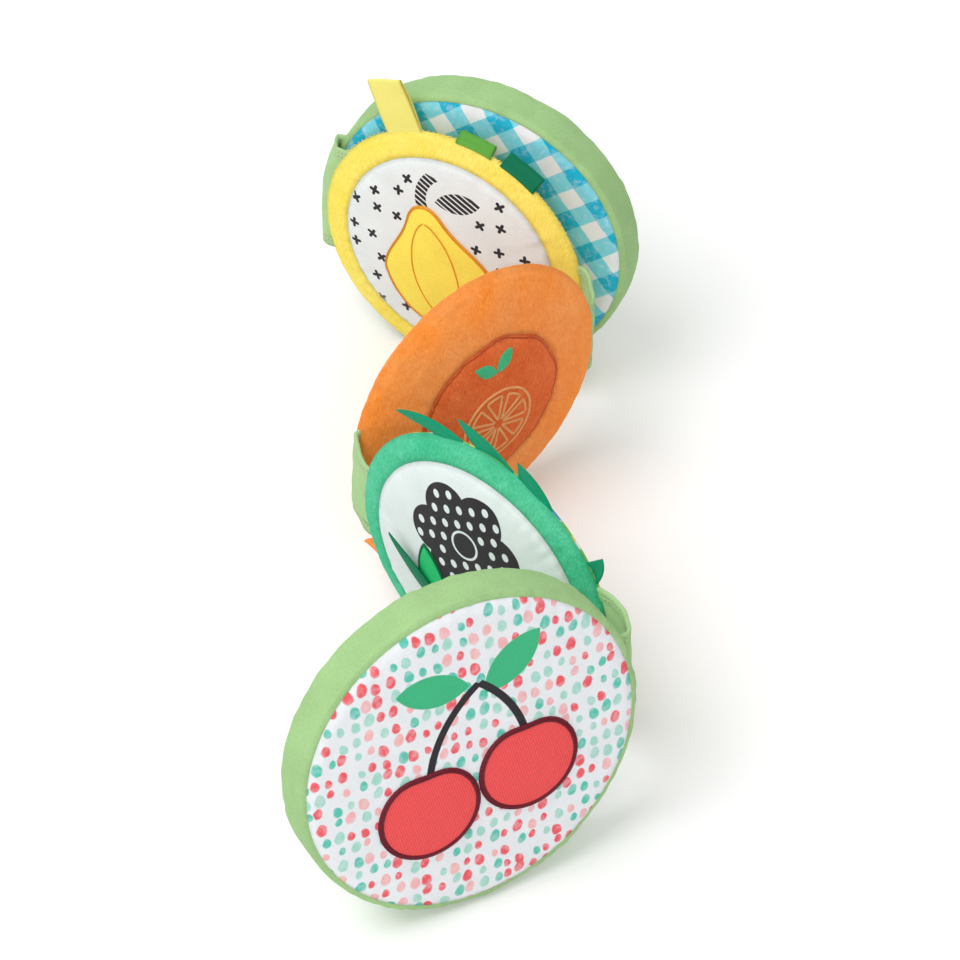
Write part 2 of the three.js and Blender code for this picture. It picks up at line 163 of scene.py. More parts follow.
class RollSizes(bpy.types.PropertyGroup):
    """Sizes of the discs and of their sewing."""

    end_radius: length("End disc radius", "Radius of the front and the back disc", 0.1)
    end_thickness: length("End disc thickness", "Width of the gusset band", 0.027)
    end_corner: length("End disc corner", "Radius of the gusset's soft edges", 0.0034)
    end_trim: length("End disc trim", "How far the round draws in where it doesn't bear weight", 0.0014)
    end_crown: length("End disc crown", "How far the flat sides swell", 0.002)
    middle_radius: length("Middle disc radius", "Radius of the three middle discs", 0.09)
    green_thickness: length("Green disc thickness", "Thickness of the green disc", 0.024)
    orange_thickness: length("Orange disc thickness", "Thickness of the orange disc", 0.034)
    yellow_thickness: length("Yellow disc thickness", "Thickness of the yellow disc", 0.018)
    green_panel: length("Green panel radius", "Radius of the green disc's picture", 0.075)
    orange_panel: length("Orange panel radius", "Radius of the orange disc's middle", 0.0515)
    yellow_panel: length("Yellow panel radius", "Radius of the yellow disc's picture", 0.073)
    cloth: length("Cloth thickness", "Thickness of the covers", 0.0011)
    seam_dip: length("Seam dip", "How deep a seam pulls into the stuffing", 0.0011)
    pucker: length("Pucker", "Height of the small folds beside a seam", 0.00032)


class RollColours(bpy.types.PropertyGroup):
    """Colours of the cloths and threads."""

    gusset: colour("Gusset green", "Light green cloth of the bands", "a0c688")
    web: colour("Web green", "The same cloth, single and paler where light comes through", "abd094")
    paper_white: colour("Print white", "Ground of the printed panels", "e9ecef")
    soft_white: colour("Soft white", "Ground of the flower's and the pear's panels", "e0e8e8")
    coral: colour("Coral", "Strong pebbles of the front print", "ee5a64")
    pink: colour("Pink", "Pale pebbles of the front print", "f2b3b4")
    mint: colour("Mint", "Strong green pebbles of the front print", "58c4b0")
    pale_mint: colour("Pale mint", "Pale green pebbles of the front print", "a2d8c8")
    cherry: colour("Cherry red", "Ribbed cloth of the cherries", "f45455")
    cherry_edge: colour("Dark red thread", "Satin stitch round the cherries", "741326")
    leaf: colour("Leaf green", "Printed leaves", "3db680")
    ink: colour("Ink", "Black of the prints", "2a262b")
    emerald: colour("Emerald", "Plush ring of the green disc", "42b78a")
    emerald_light: colour("Light emerald", "Brushed pile of the green disc", "64c8a0")
    stalk: colour("Stalk green", "Satin stalk of the flower", "16b86c")
    satin: colour("Satin green", "Leaves of satin", "008f68")
    # Painted shade: a darker copy of the satin green for the loose leaf, whose side lies in shade
    deep_satin: colour("Deep satin green", "The loose satin leaf", "00744f")
    stalk_edge: colour("Deep green thread", "Stitching round the stalk", "00693f")
    orange: colour("Orange", "Plush of the orange disc", "fa9148")
    # Painted sheen: the tint that the plush takes on towards the orange disc's rim, where the pile catches
    # the light
    orange_rim_sheen: colour("Deep orange", "Plush on the orange disc's rim", "ff9238")
    orange_light: colour("Light orange", "Brushed pile of the orange disc", "f9a765")
    velour: colour("Rust", "Velour in the middle of the orange disc", "dd6432")
    velour_light: colour("Light rust", "Brushed velour", "ea7a45")
    yellow: colour("Yellow", "Plush of the yellow disc", "efdd5f")
    yellow_light: colour("Light yellow", "Brushed pile of the yellow disc", "f2e47c")
    pear: colour("Pear yellow", "Padded pear", "f8e45a")
    pear_edge: colour("Amber thread", "Stitching of the pear", "f0a02c")
    ribbon_yellow: colour("Yellow ribbon", "Tall ribbon loop", "ece57c")
    ribbon_lime: colour("Lime ribbon", "Middle ribbon loop", "5aa03c")
    ribbon_green: colour("Green ribbon", "Right ribbon loop", "00704e")
    gingham: colour("Gingham blue", "Crossing checks", "0fb0d2")
    gingham_pale: colour("Pale gingham blue", "Single checks", "7ad3e4")
    stuffing: colour("Stuffing", "Polyester filling", "f2efe8")


# Geometry helpers


class Disc:
    """One disc's place and its frame in the row."""

    def __init__(self, name):
        centre, heading, lean = PLACES[name]
        turn = Matrix.Rotation(math.radians(heading), 3, "Z")
        turn = turn @ Matrix.Rotation(-math.radians(lean), 3, "X")
        self.name = name
        self.body = f"{name}_disc"
        self.centre = np.array(centre)
        axes = [turn @ Vector(a) for a in ((1, 0, 0), (0, 0, 1), (0, -1, 0))]
        self.axes = np.array([list(a) for a in axes])

    def to_row(self, points):
        """Points in u, v, d as points of the row."""
        return self.centre + np.asarray(points) @ self.axes

    def above_floor(self, points):
        """The same points in u, v, d, with none below the floor."""
        placed = self.to_row(points)
        placed[..., 2] = np.maximum(placed[..., 2], FLOOR_GAP)
        return (placed - self.centre) @ self.axes.T


def eased(share):
    """A share from 0 to 1 that starts and ends softly."""
    return share**2 * (3 - 2 * share)


def lengths(points, axis=0):
    """Distance from the start along a line, or along a grid's rows or columns on average."""
    steps = np.linalg.norm(np.diff(points, axis=axis), axis=-1)
    if points.ndim == 3:
        steps = steps.mean(axis=1 - axis)
    return np.concatenate([[0], np.cumsum(steps)])


def flat_map(u, v):
    """A grid's map from a row of one coordinate and a column of the other."""
    return np.dstack(np.broadcast_arrays(u, v))


def blurred(line, times):
    """A closed line with its corners rounded."""
    for _ in range(times):
        line = (np.roll(line, 1, axis=0) + 2 * line + np.roll(line, -1, axis=0)) / 4
    return line


def circle(radius, angles):
    """Points at these angles, in u and v."""
    return np.stack([radius * np.cos(angles), radius * np.sin(angles)], axis=1)


def ripples(seed, points, longest, shortest, count=20):
    """Smooth noise from about -1 to 1 over points in space, with waves between two lengths."""
    draw = np.random.RandomState(seed)
    directions = draw.normal(size=(count, 3))
    directions /= np.linalg.norm(directions, axis=1)[:, None]
    waves = np.exp(draw.uniform(math.log(shortest), math.log(longest), count))
    phases = draw.uniform(0, TURN, count)
    total = np.zeros(points.shape[:-1])
    for direction, wave, phase in zip(directions, waves, phases):
        total += np.sin(points @ direction * (TURN / wave) + phase)
    return total / math.sqrt(count / 2) / 1.6


def round_ripples(seed, angles, fewest, most, count=9):
    """Smooth noise from about -1 to 1 that closes on itself round a rim."""
    draw = np.random.RandomState(seed)
    total = np.zeros(np.shape(angles))
    for _ in range(count):
        turns = draw.randint(fewest, most + 1)
        total += np.sin(turns * angles + draw.uniform(0, TURN))
    return total / math.sqrt(count / 2) / 1.5


def refined(grid, rows, around, wrap=True):
    """The grid resampled by a smooth curve in both directions."""

    def curve(values, count, closed):
        size = len(values)
        at = np.arange(count) * (size / count) if closed else np.linspace(0, size - 1, count)
        base = np.minimum(at.astype(int), size - 1 if closed else size - 2)
        t = (at - base)[:, None, None]
        pick = (lambda i: i % size) if closed else (lambda i: np.clip(i, 0, size - 1))
        a, b, c, d = (values[pick(base + k)] for k in (-1, 0, 1, 2))
        if not closed:
            first, last = base == 0, base == size - 2
            a[first] = 2 * b[first] - c[first]
            d[last] = 2 * c[last] - b[last]
        square = t**2 * (2 * a - 5 * b + 4 * c - d)
        return 0.5 * (2 * b + t * (c - a) + square + t**3 * (3 * b - a - 3 * c + d))

    grid = curve(grid, rows, False)
    return np.swapaxes(curve(np.swapaxes(grid, 0, 1), around, wrap), 0, 1)


def normals(grid, wrap=True):
    """Outward directions of a grid whose rows run from the front over the rim to the back."""
    along = np.gradient(grid, axis=0)
    if wrap:
        across = np.roll(grid, -1, axis=1) - np.roll(grid, 1, axis=1)
    else:
        across = np.gradient(grid, axis=1)
    found = np.cross(along, across)
    return found / np.maximum(np.linalg.norm(found, axis=2), 1e-12)[..., None]


def grid_mesh(name, grid, chart, wrap=True, first_pole=None, last_pole=None):
    """A mesh from rows x columns points, with chart as its map; poles are extra end points."""
    rows, columns = grid.shape[:2]
    points = list(grid.reshape(-1, 3))
    faces, maps = [], []

    def chart_at(i, j):
        return chart[i][j] if j < chart.shape[1] else chart[i][0]

    for i in range(rows - 1):
        here, below = i * columns, (i + 1) * columns
        for j in range(columns if wrap else columns - 1):
            k = (j + 1) % columns
            faces.append((here + j, below + j, below + k, here + k))
            maps += [chart_at(i, j), chart_at(i + 1, j), chart_at(i + 1, j + 1), chart_at(i, j + 1)]
    for pole, row in ((first_pole, 0), (last_pole, rows - 1)):
        if pole is None:
            continue
        place, pole_chart = pole
        points.append(place)
        for j in range(columns):
            a, b = row * columns + j, row * columns + (j + 1) % columns
            pair = (a, b) if row == 0 else (b, a)
            faces.append((len(points) - 1, *pair))
            ends = [chart_at(row, j), chart_at(row, j + 1)]
            maps += [pole_chart, *(ends if row == 0 else ends[::-1])]
    return mesh_of(name, points, faces, maps)


def mesh_of(name, points, faces, maps=None):
    """A smooth mesh; maps hold the flat map's point for each corner of each face."""
    mesh = bpy.data.meshes.new(name)
    mesh.from_pydata([tuple(map(float, p)) for p in points], [], [tuple(map(int, f)) for f in faces])
    if maps is not None:
        layer = mesh.uv_layers.new(name=FLAT_MAP)
        layer.data.foreach_set("uv", np.asarray(maps, np.float32)[:, :2].ravel())
    mesh.shade_smooth()
    mesh.validate()
    return mesh


def add_piece(name, mesh, material, slot, body=None, nodes=(), thickness=0.0, offset=-1.0):
    """Puts a mesh in the scene as a named piece of the roll. offset 0 thickens it to both sides."""
    piece = bpy.data.objects.new(name, mesh)
    bpy.context.scene.collection.objects.link(piece)
    mesh.materials.append(material)
    if thickness:
        shell = piece.modifiers.new("Cloth thickness", "SOLIDIFY")
        shell.thickness = thickness
        shell.offset = offset
    if nodes:
        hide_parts(*nodes)
    if body:
        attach(piece, body)
    return piece


# Stuffed discs


def end_profile(sizes):
    """Rows of radius and depth over an end disc, and the rows that its two seams follow."""
    half = sizes.end_thickness / 2
    seam = sizes.end_radius - sizes.end_corner
    radii = seam * np.linspace(POLE_SHARE, 1, PANEL_ROWS)
    depths = half + sizes.end_crown * (1 - (radii / seam) ** 2)
    front = list(zip(radii, depths))
    turn = np.linspace(0, math.pi / 2, CORNER_ROWS + 1)[1:]
    corner = [
        (seam + sizes.end_corner * math.sin(a), half - sizes.end_corner * (1 - math.cos(a)))
        for a in turn
    ]
    flat = half - sizes.end_corner
    band = [(sizes.end_radius, d) for d in np.linspace(flat, -flat, BAND_ROWS + 1)[1:-1]]
    mirrored = [(r, -d) for r, d in (front + corner)[::-1]]
    rows = np.array(front + corner + band + mirrored)
    return rows, (PANEL_ROWS - 1, len(rows) - PANEL_ROWS)


def pillow_profile(radius, thickness, panel):
    """Rows of radius and depth over a middle disc, and the rows that its seams follow."""
    half = thickness / 2
    pole = math.acos(panel * POLE_SHARE / radius)
    edge = math.acos(panel / radius)
    angles = np.concatenate([
        np.linspace(pole, edge, PANEL_ROWS),
        np.linspace(edge, 0, RING_ROWS + 1)[1:],
        np.linspace(0, -pole, BACK_ROWS + 1)[1:],
    ])
    rows = np.stack([radius * np.cos(angles), half * np.sin(angles)], axis=1)
    return rows, (PANEL_ROWS - 1, PANEL_ROWS - 1 + RING_ROWS)


def blown(grid, seams, seed, slack, cap, finest, calm):
    """Cloth simulation of a disc's whole skin, sewn down along its seams and pressed out by stuffing.

    slack is the cloth's spare length as a share, cap limits how far the cloth moves, finest is about
    the most folds that stay round the rim, and calm holds for each seam how far the cloth beside it
    is held back.
    """
    rows, columns = grid.shape[:2]
    start = grid + normals(grid) * ripples(seed, grid, 0.03, 0.008)[..., None] * (0.2 * MM)
    front, back = start[0].mean(axis=0), start[-1].mean(axis=0)
    mesh = grid_mesh("skin", start, start, True, (front, front), (back, back))
    skin = bpy.data.objects.new("skin", mesh)
    bpy.context.scene.collection.objects.link(skin)
    sewn = skin.vertex_groups.new(name="sewn")
    for row in seams:
        sewn.add(list(range(row * columns, (row + 1) * columns)), 1.0, "REPLACE")
    cloth = skin.modifiers.new("Cloth", "CLOTH")
    for key, value in CLOTH_SETTINGS.items():
        setattr(cloth.settings, key, value)
    cloth.settings.shrink_min = -slack
    cloth.settings.effector_weights.gravity = 0
    cloth.collision_settings.use_collision = False
    scene = bpy.context.scene
    for step in range(SIMULATION_STEPS):
        scene.frame_set(step + 1)
    shown = skin.evaluated_get(bpy.context.evaluated_depsgraph_get())
    moved = np.array([v.co for v in shown.data.vertices])[: rows * columns].reshape(grid.shape)
    bpy.data.objects.remove(skin)
    scene.frame_set(1)
    waves = np.fft.rfft(moved - grid, axis=1)
    waves *= np.exp(-((np.arange(waves.shape[1]) / finest) ** 2))[None, :, None]
    shift = np.fft.irfft(waves, columns, axis=1)
    far = np.linalg.norm(shift, axis=2)[..., None]
    shift *= cap * np.tanh(far / cap) / np.maximum(far, 1e-9)
    along = lengths(grid[:, 0])
    for row, reach in zip(seams, calm):
        shift *= eased(np.clip(np.abs(along - along[row]) / reach, 0, 1))[:, None, None]
    return grid + shift


def skin_grid(rows, trim=0.0):
    """A profile turned about the disc's axis, as points in u, v, d. The trim fades out at the foot."""
    fade_from, fade_over = 0.55, 0.4
    angles = np.arange(AROUND) / AROUND * TURN
    radius, depth = rows[:, :1], rows[:, 1:]
    foot = np.clip((-np.sin(angles) - fade_from) / fade_over, 0, 1)
    radius = radius - trim * radius / radius.max() * (1 - eased(foot))
    return np.stack([radius * np.cos(angles), radius * np.sin(angles), depth + 0 * angles], axis=2)


def sewn_edge(part, inward, at_start, tuck=2.2 * MM):
    """Adds rows that turn the cloth's edge in at a seam."""
    edge, inner = (part[0], part[1]) if at_start else (part[-1], part[-2])
    along = edge - inner
    along /= np.maximum(np.linalg.norm(along, axis=1), 1e-12)[:, None]
    rows = [edge + along * (0.12 * tuck * share) + inward * (share * tuck) for share in (0.4, 1.0)]
    return np.concatenate([rows[::-1], part]) if at_start else np.concatenate([part, rows])


def covers(grid, sections, seed, sizes, dips, wobble=0.0):
    """The covers of a stuffed disc at full detail, with their seams drawn in and small folds beside them.

    sections hold the first row, last row, fine rows and pile height of each cover; dips say how
    deep each seam between them is drawn in, as a share of the seam dip.
    """
    parts = [refined(grid[first : last + 1], rows, FINE_AROUND) for first, last, rows, _ in sections]
    whole = np.concatenate([parts[0], *(part[1:] for part in parts[1:])])
    cuts = np.cumsum([len(part) - 1 for part in parts[:-1]])
    along = lengths(whole)
    angles = np.arange(FINE_AROUND) / FINE_AROUND * TURN
    out = normals(whole)
    push = np.zeros(whole.shape[:2])
    nearest = np.full(len(whole), 1.0)
    for k, (cut, dip) in enumerate(zip(cuts, dips)):
        side = (along - along[cut])[:, None]
        away = np.abs(side)
        nearest = np.minimum(nearest, away[:, 0])
        push -= dip * sizes.seam_dip * np.exp(-((away / SEAM_REACH) ** 2))
        for kind, (height, reach, rise, fewest, most) in enumerate(FOLDS):
            fading = np.exp(-away / reach) * np.clip(away / rise, 0, 1)
            folds = round_ripples(seed + 2 * k + kind, angles, fewest, most)
            push += dip * sizes.pucker * height * fading * folds
        if wobble and k == 0:
            lift = wobble * np.exp(-away / 0.012) * round_ripples(seed + 9, angles, 4, 13)
            outward = whole[..., :2] / np.linalg.norm(whole[..., :2], axis=2)[..., None]
            whole[..., :2] += outward * lift[..., None]
    piles = np.zeros(len(whole))
    starts = [0, *cuts]
    for start, part, (_, _, _, pile) in zip(starts, parts, sections):
        piles[start : start + len(part)] = pile
    nap = ripples(seed + 7, whole, *TUFTS, 40)
    push += nap * (piles * np.clip(nearest / TUFTS[1], 0, 1))[:, None]
    whole = whole + out * push[..., None]
    made = []
    for k, (start, part) in enumerate(zip(starts, parts)):
        end = start + len(part)
        reach = np.abs(along[start:end, None] - along[cuts]).min(axis=1)
        cover = whole[start:end][(reach < 1e-9) | (reach > 0.4 * MM)]
        if k < len(parts) - 1:
            cover = sewn_edge(cover, -out[end - 1], False)
        if k:
            cover = sewn_edge(cover, -out[start], True)
        made.append(cover)
    return made


def plain_chart(part):
    """The disc's own u and v as the map."""
    return part[..., :2]


def band_chart(part, radius):
    """Length round the rim and distance across the band as the map."""
    round_rim = np.arange(part.shape[1] + 1) / part.shape[1] * TURN * radius
    return flat_map(round_rim, lengths(part)[:, None])


def add_cover(disc, name, part, material, slot, nodes, sizes, poles=(False, False), chart=None):
    """A cover as a piece on its disc, and its points in the disc's frame."""
    part = disc.above_floor(part)
    chart = plain_chart(part) if chart is None else chart
    ends = []
    for wanted, row in zip(poles, (0, -1)):
        middle = part[row].mean(axis=0)
        ends.append((disc.to_row(middle), middle[:2]) if wanted else None)
    mesh = grid_mesh(name, disc.to_row(part), chart, True, *ends)
    piece = add_piece(name, mesh, material, slot, disc.body, nodes, sizes.cloth)
    return part


def add_stuffing(disc, rows, material):
    """The loose filling inside a disc's covers."""
    scaled = rows * (1 - STUFFING_INSET / rows.max(axis=0))
    grid = refined(skin_grid(scaled), STUFFING_ROWS, STUFFING_AROUND)
    grid += normals(grid) * (ripples(70, grid, 0.02, 0.006)[..., None] - 1) * 0.0004
    name = f"{disc.name}_stuffing"
    placed = disc.to_row(grid)
    ends = [(placed[row].mean(axis=0), (0.0, 0.0)) for row in (0, -1)]
    mesh = grid_mesh(name, placed, plain_chart(grid), True, *ends)
    piece = add_piece(name, mesh, material, "stuffing", disc.body, [f"{disc.name}_filling"])


class Surface:
    """Depth of a finished cover in front of its disc's middle plane."""

    def __init__(self, part):
        rows, columns = part.shape[:2]
        points = [Vector(p) for p in part.reshape(-1, 3)] + [Vector(part[0].mean(axis=0))]
        faces = [
            (i * columns + j, (i + 1) * columns + j, (i + 1) * columns + k, i * columns + k)
            for i in range(rows - 1)
            for j, k in ((j, (j + 1) % columns) for j in range(columns))
        ]
        faces += [(len(points) - 1, j, (j + 1) % columns) for j in range(columns)]
        self.tree = BVHTree.FromPolygons(points, faces)
        self.fallback = float(part[0, :, 2].mean())

    def depth(self, places):
        found = []
        for u, v in places:
            hit = self.tree.ray_cast(Vector((u, v, 0.1)), Vector((0, 0, -1)))
            found.append(hit[0].z if hit[0] else self.fallback)
        return np.array(found)


# Patches and embroidery


def turned(points, place, tilt=0.0):
    """Flat points turned by tilt degrees and moved to a place."""
    c, s = math.cos(math.radians(tilt)), math.sin(math.radians(tilt))
    return np.asarray(points) @ np.array([[c, s], [-s, c]]) + np.asarray(place)


def evenly(points, step, closed=True):
    """Points at even steps along a line, and how far along it each lies."""
    line = np.concatenate([points, points[:1]]) if closed else np.asarray(points)
    along = lengths(line)
    count = max(8, int(round(along[-1] / step)))
    at = np.linspace(0, along[-1], count + 1)
    if closed:
        at = at[:-1]
    return np.stack([np.interp(at, along, line[:, k]) for k in (0, 1)], axis=1), at


def patch_swell(share, thickness, crown):
    """Height of a padded patch at a share of the way from its middle to its edge."""
    rounding = np.sqrt(np.clip(1 - (1 - np.clip((1 - share) * 9, 0, 1)) ** 2, 0, 1))
    return thickness * rounding + crown * (1 - share**2)


def patch_mesh(disc, name, outline, surface, lift, thickness, crown, rings=16):
    """A sewn-on patch that lies on a cover, rounded at its edge and swelling to its middle."""
    outline, _ = evenly(outline, 0.9 * MM)
    middle = outline.mean(axis=0)
    shares = 1 - np.linspace(0, 1, rings + 1)[:-1] ** 1.25
    flat = middle + (outline - middle) * shares[:, None, None]
    depth = surface.depth(flat.reshape(-1, 2)).reshape(flat.shape[:2])
    top = np.dstack([flat, depth + lift + patch_swell(shares, thickness, crown)[:, None]])
    foot = np.dstack([flat[:1], depth[:1] + lift - 0.2 * MM])
    grid = np.concatenate([foot, top])[::-1]
    centre = np.append(middle, surface.depth([middle])[0] + lift + thickness + crown)
    ends = (disc.to_row(centre), centre[:2])
    return grid_mesh(name, disc.to_row(grid), plain_chart(grid), True, ends)


def corded_mesh(disc, name, path, surface, width, rise, lift, pitch=STITCH_PITCH, closed=True, slant=0.35):
    """A line of satin stitches over a cover: a low rounded cord with a ridge for each thread.

    slant is how far the threads lean, as a share of their length.
    """
    line, along = evenly(path, pitch / 2, closed)
    if closed:
        ahead = np.roll(line, -1, axis=0) - np.roll(line, 1, axis=0)
    else:
        ahead = np.gradient(line, axis=0)
    ahead /= np.linalg.norm(ahead, axis=1)[:, None]
    side = np.stack([-ahead[:, 1], ahead[:, 0]], axis=1)
    angles = np.radians([0, 28, 60, 90, 120, 152, 180])
    across = -np.cos(angles) * width / 2
    ridge = 1 + 0.2 * np.where(np.arange(len(line)) % 2, 1, -1)
    draw = np.random.RandomState(len(line))
    ragged = 1 + 0.07 * draw.uniform(-1, 1, len(line)) + 0.05 * (ridge - 1)
    ends = np.ones(len(line))
    if not closed:
        reach = np.minimum(along, along[-1] - along)
        ends = np.sqrt(np.clip(reach / (width / 2), 0.02, 1))
    flat = (
        line[:, None]
        + side[:, None] * (across * (ends * ragged)[:, None])[..., None]
        + ahead[:, None] * (across * slant)[None, :, None]
    )
    depth = surface.depth(flat.reshape(-1, 2)).reshape(flat.shape[:2])
    height = rise * np.sin(angles)[None, :] * (ridge * ends)[:, None]
    height[:, [0, -1]] = -0.25 * MM
    grid = np.dstack([flat, depth + lift + height])
    chart = flat_map(along[:, None], across)
    if closed:
        last = chart[:1].copy()
        last[..., 0] = along[-1] + pitch / 2
        grid, chart = np.concatenate([grid, grid[:1]]), np.concatenate([chart, last])
    return grid_mesh(name, disc.to_row(grid), chart, wrap=False)


def add_patch(disc, name, outline, surface, heights, material, slot, nodes=(), rings=16):
    """A padded patch as a piece. heights are its lift, thickness and crown in millimetres."""
    mesh = patch_mesh(disc, name, outline, surface, *(h * MM for h in heights), rings)
    patch = add_piece(name, mesh, material, slot, disc.body, nodes)


def add_cord(disc, name, path, surface, size, material, slot, **kind):
    """A line of stitches as a piece. size is its width, rise and lift in millimetres."""
    mesh = corded_mesh(disc, name, path, surface, *(s * MM for s in size), **kind)
    add_piece(name, mesh, material, slot, disc.body)


class PatchTop:
    """Depth of a padded patch's top over the cover below it."""

    def __init__(self, surface, outline, lift, thickness, crown):
        self.surface = surface
        self.middle = outline.mean(axis=0)
        angles, reach = self.polar(outline)
        order = np.argsort(angles)
        self.angles, self.reach = angles[order], reach[order]
        self.lift, self.thickness, self.crown = lift, thickness, crown

    def polar(self, places):
        """Angle and distance from the patch's middle."""
        spokes = np.asarray(places) - self.middle
        return np.arctan2(spokes[:, 1], spokes[:, 0]), np.linalg.norm(spokes, axis=1)

    def depth(self, places):
        angle, reach = self.polar(places)
        share = reach / np.interp(angle, self.angles, self.reach, period=TURN)
        swell = patch_swell(np.clip(share, 0, 1), self.thickness, self.crown)
        return self.surface.depth(places) + self.lift + swell


def cherry_outline():
    """A round cherry with a dimple at its top."""
    angle = np.linspace(0, TURN, 120, endpoint=False)
    from_top = np.arctan2(np.cos(angle), np.sin(angle))
    reach = (28 - 3.6 * np.exp(-((from_top / math.radians(26)) ** 2))) * MM
    return circle(reach, angle)


def pear_outline():
    """A pear: a round base that narrows to its neck."""
    angle = np.linspace(0, TURN, 160, endpoint=False)
    neck = 1 - 0.52 * eased(np.clip((np.sin(angle) + 0.1) / 0.9, 0, 1))
    across = np.sign(np.cos(angle)) * np.abs(np.cos(angle)) ** 0.85 * neck
    return np.stack([38 * MM * across, 46 * MM * np.sin(angle)], axis=1)


def leaf_outline(long, wide, count=40):
    """A leaf with two pointed ends, standing on its foot."""
    t = np.linspace(0, 1, count)
    half = wide / 2 * np.sin(math.pi * t) ** 0.8
    left = np.stack([-half, long * t], axis=1)
    return np.concatenate([left, (left * [-1, 1])[-2:0:-1]])[::-1]


def stalk_outline():
    """A short stalk that widens to its foot, with rounded corners."""
    corners = np.array([(-6.5, 0), (-9, -46), (9, -46), (6.5, 0)]) * MM
    return blurred(evenly(corners, 0.8 * MM)[0], 6)


# Shader helpers


class Shader:
    """Adds nodes to one tree and joins them."""

    def __init__(self, tree):
        self.tree = tree

    def node(self, kind, values=None, **settings):
        """A shader node. values are sockets or plain numbers and colours for its inputs."""
        return self.filled(self.tree.nodes.new("ShaderNode" + kind), values, settings)

    def filled(self, made, values=None, settings=None):
        """The node with its settings and inputs set."""
        for key, value in (settings or {}).items():
            setattr(made, key, value)
        for key, value in (values or {}).items():
            if isinstance(value, bpy.types.NodeSocket):
                self.tree.links.new(value, made.inputs[key])
            elif made.inputs[key].type == "RGBA":
                made.inputs[key].default_value = (*value[:3], 1.0)
            else:
                made.inputs[key].default_value = value
        return made

    def group(self, name, values):
        """A node of the group with this name; gives its outputs."""
        made = self.tree.nodes.new("ShaderNodeGroup")
        made.node_tree = group_tree(name)
        return self.filled(made, values).outputs

    def cloth(self, name, values):
        """Colour, height and roughness of a group."""
        made = self.group(name, values)
        return made["Colour"], made["Height"], made["Roughness"]

    def math(self, operation, a, b=0.0):
        return self.node("Math", {0: a, 1: b}, operation=operation).outputs[0]

    def times(self, a, b):
        return self.math("MULTIPLY", a, b)

    def over(self, a, b):
        return self.math("DIVIDE", a, b)

    def plus(self, a, b):
        return self.math("ADD", a, b)

    def minus(self, a, b):
        return self.math("SUBTRACT", a, b)

    def rest(self, a):
        """What is left of one."""
        return self.minus(1.0, a)

    def most(self, a, b):
        return self.math("MAXIMUM", a, b)

    def size(self, a):
        return self.math("ABSOLUTE", a)

    def vector(self, operation, a, b=(0.0, 0.0, 0.0)):
        """A vector's sum, product and so on, or a length or a dot product."""
        made = self.node("VectorMath", {0: a, 1: b}, operation=operation)
        return made.outputs["Value" if operation in ("LENGTH", "DOT_PRODUCT") else "Vector"]

    def length(self, a):
        return self.vector("LENGTH", a)

    def scaled(self, a, factor):
        return self.node("VectorMath", {0: a, "Scale": factor}, operation="SCALE").outputs["Vector"]

    def step(self, value, low, high, start=0.0, end=1.0):
        """A soft step from start to end while the value goes from low to high."""
        values = {0: value, 1: low, 2: high, 3: start, 4: end}
        return self.node("MapRange", values, interpolation_type="SMOOTHSTEP").outputs[0]

    def mix(self, factor, a, b):
        return self.node("Mix", {0: factor, 6: a, 7: b}, data_type="RGBA").outputs[2]

    def chart(self):
        """The piece's flat map, in metres."""
        return self.node("UVMap", uv_map=FLAT_MAP).outputs[0]

    def place(self):
        return self.node("TexCoord").outputs["Object"]

    def noise(self, where, size, detail=2.0, output=0, **values):
        """Noise with lumps of a size; without a size, values give its Scale."""
        if size:
            values["Scale"] = 1 / size
        return self.node("TexNoise", {"Vector": where, "Detail": detail, **values}).outputs[output]

    def wobble(self, where, size, detail, reach):
        """A vector that sways about zero by up to half the reach."""
        uneven = self.noise(where, size, detail, 1)
        return self.scaled(self.vector("SUBTRACT", uneven, (0.5, 0.5, 0.5)), reach)

    def parts(self, vector):
        """The first two coordinates."""
        made = self.node("SeparateXYZ", {0: vector})
        return made.outputs[0], made.outputs[1]

    def at(self, x, y):
        return self.node("CombineXYZ", {0: x, 1: y}).outputs[0]

    def spun(self, where, angle):
        values = {"Vector": where, "Angle": angle}
        return self.node("VectorRotate", values, rotation_type="Z_AXIS").outputs[0]

    def local(self, where, place, tilt=0.0):
        """Coordinates about a place, turned by tilt degrees."""
        return self.spun(self.vector("SUBTRACT", where, (*place, 0.0)), -math.radians(tilt))


# Shader groups that the cloths share. Each function fills one group and gives its output sockets.


def pile_group(s, given):
    """Short plush: brushed patches of light and dark pile over a fine nap."""
    where = given["Vector"]
    patch_scale = s.over(1.0, given["Patch size"])
    patches = s.step(s.noise(where, None, 3.0, Scale=patch_scale, Distortion=0.45), 0.28, 0.74)
    nap_scale = s.over(1.0, given["Nap size"])
    combed = s.vector("MULTIPLY", where, (1.0, 1.0, 0.45))
    nap = s.noise(combed, None, 3.0, Scale=nap_scale, Roughness=0.6)
    bent = s.vector("ADD", where, s.scaled(s.noise(where, 1 / 28, 1.0, 1), 0.02))
    laid = s.vector("MULTIPLY", bent, (1.6, 1.6, 0.28))
    fibres = s.noise(laid, None, 2.0, Scale=s.times(nap_scale, 0.8))
    tufts = s.noise(where, None, 2.0, Scale=s.times(patch_scale, 4.5), Distortion=0.3)
    blend = s.mix(s.times(patches, given["Depth"]), given["Colour"], given["Brushed colour"])
    fine = s.step(nap, 0.3, 0.72, 0.94, 1.05)
    lock = s.step(tufts, 0.3, 0.72, 0.97, 1.03)
    brush = s.step(fibres, 0.3, 0.72, 0.93, 1.06)
    shade = s.times(s.times(fine, lock), brush)
    depth = s.plus(1.0, s.times(s.rest(shade), 1.1))
    deeper = s.node("Gamma", {"Color": blend, "Gamma": depth}).outputs[0]
    tinted = s.scaled(deeper, s.plus(0.5, s.times(shade, 0.5)))
    height = s.plus(s.times(nap, 0.12), tufts)
    return tinted, height, s.step(nap, 0.2, 0.8, 0.98, 0.82)


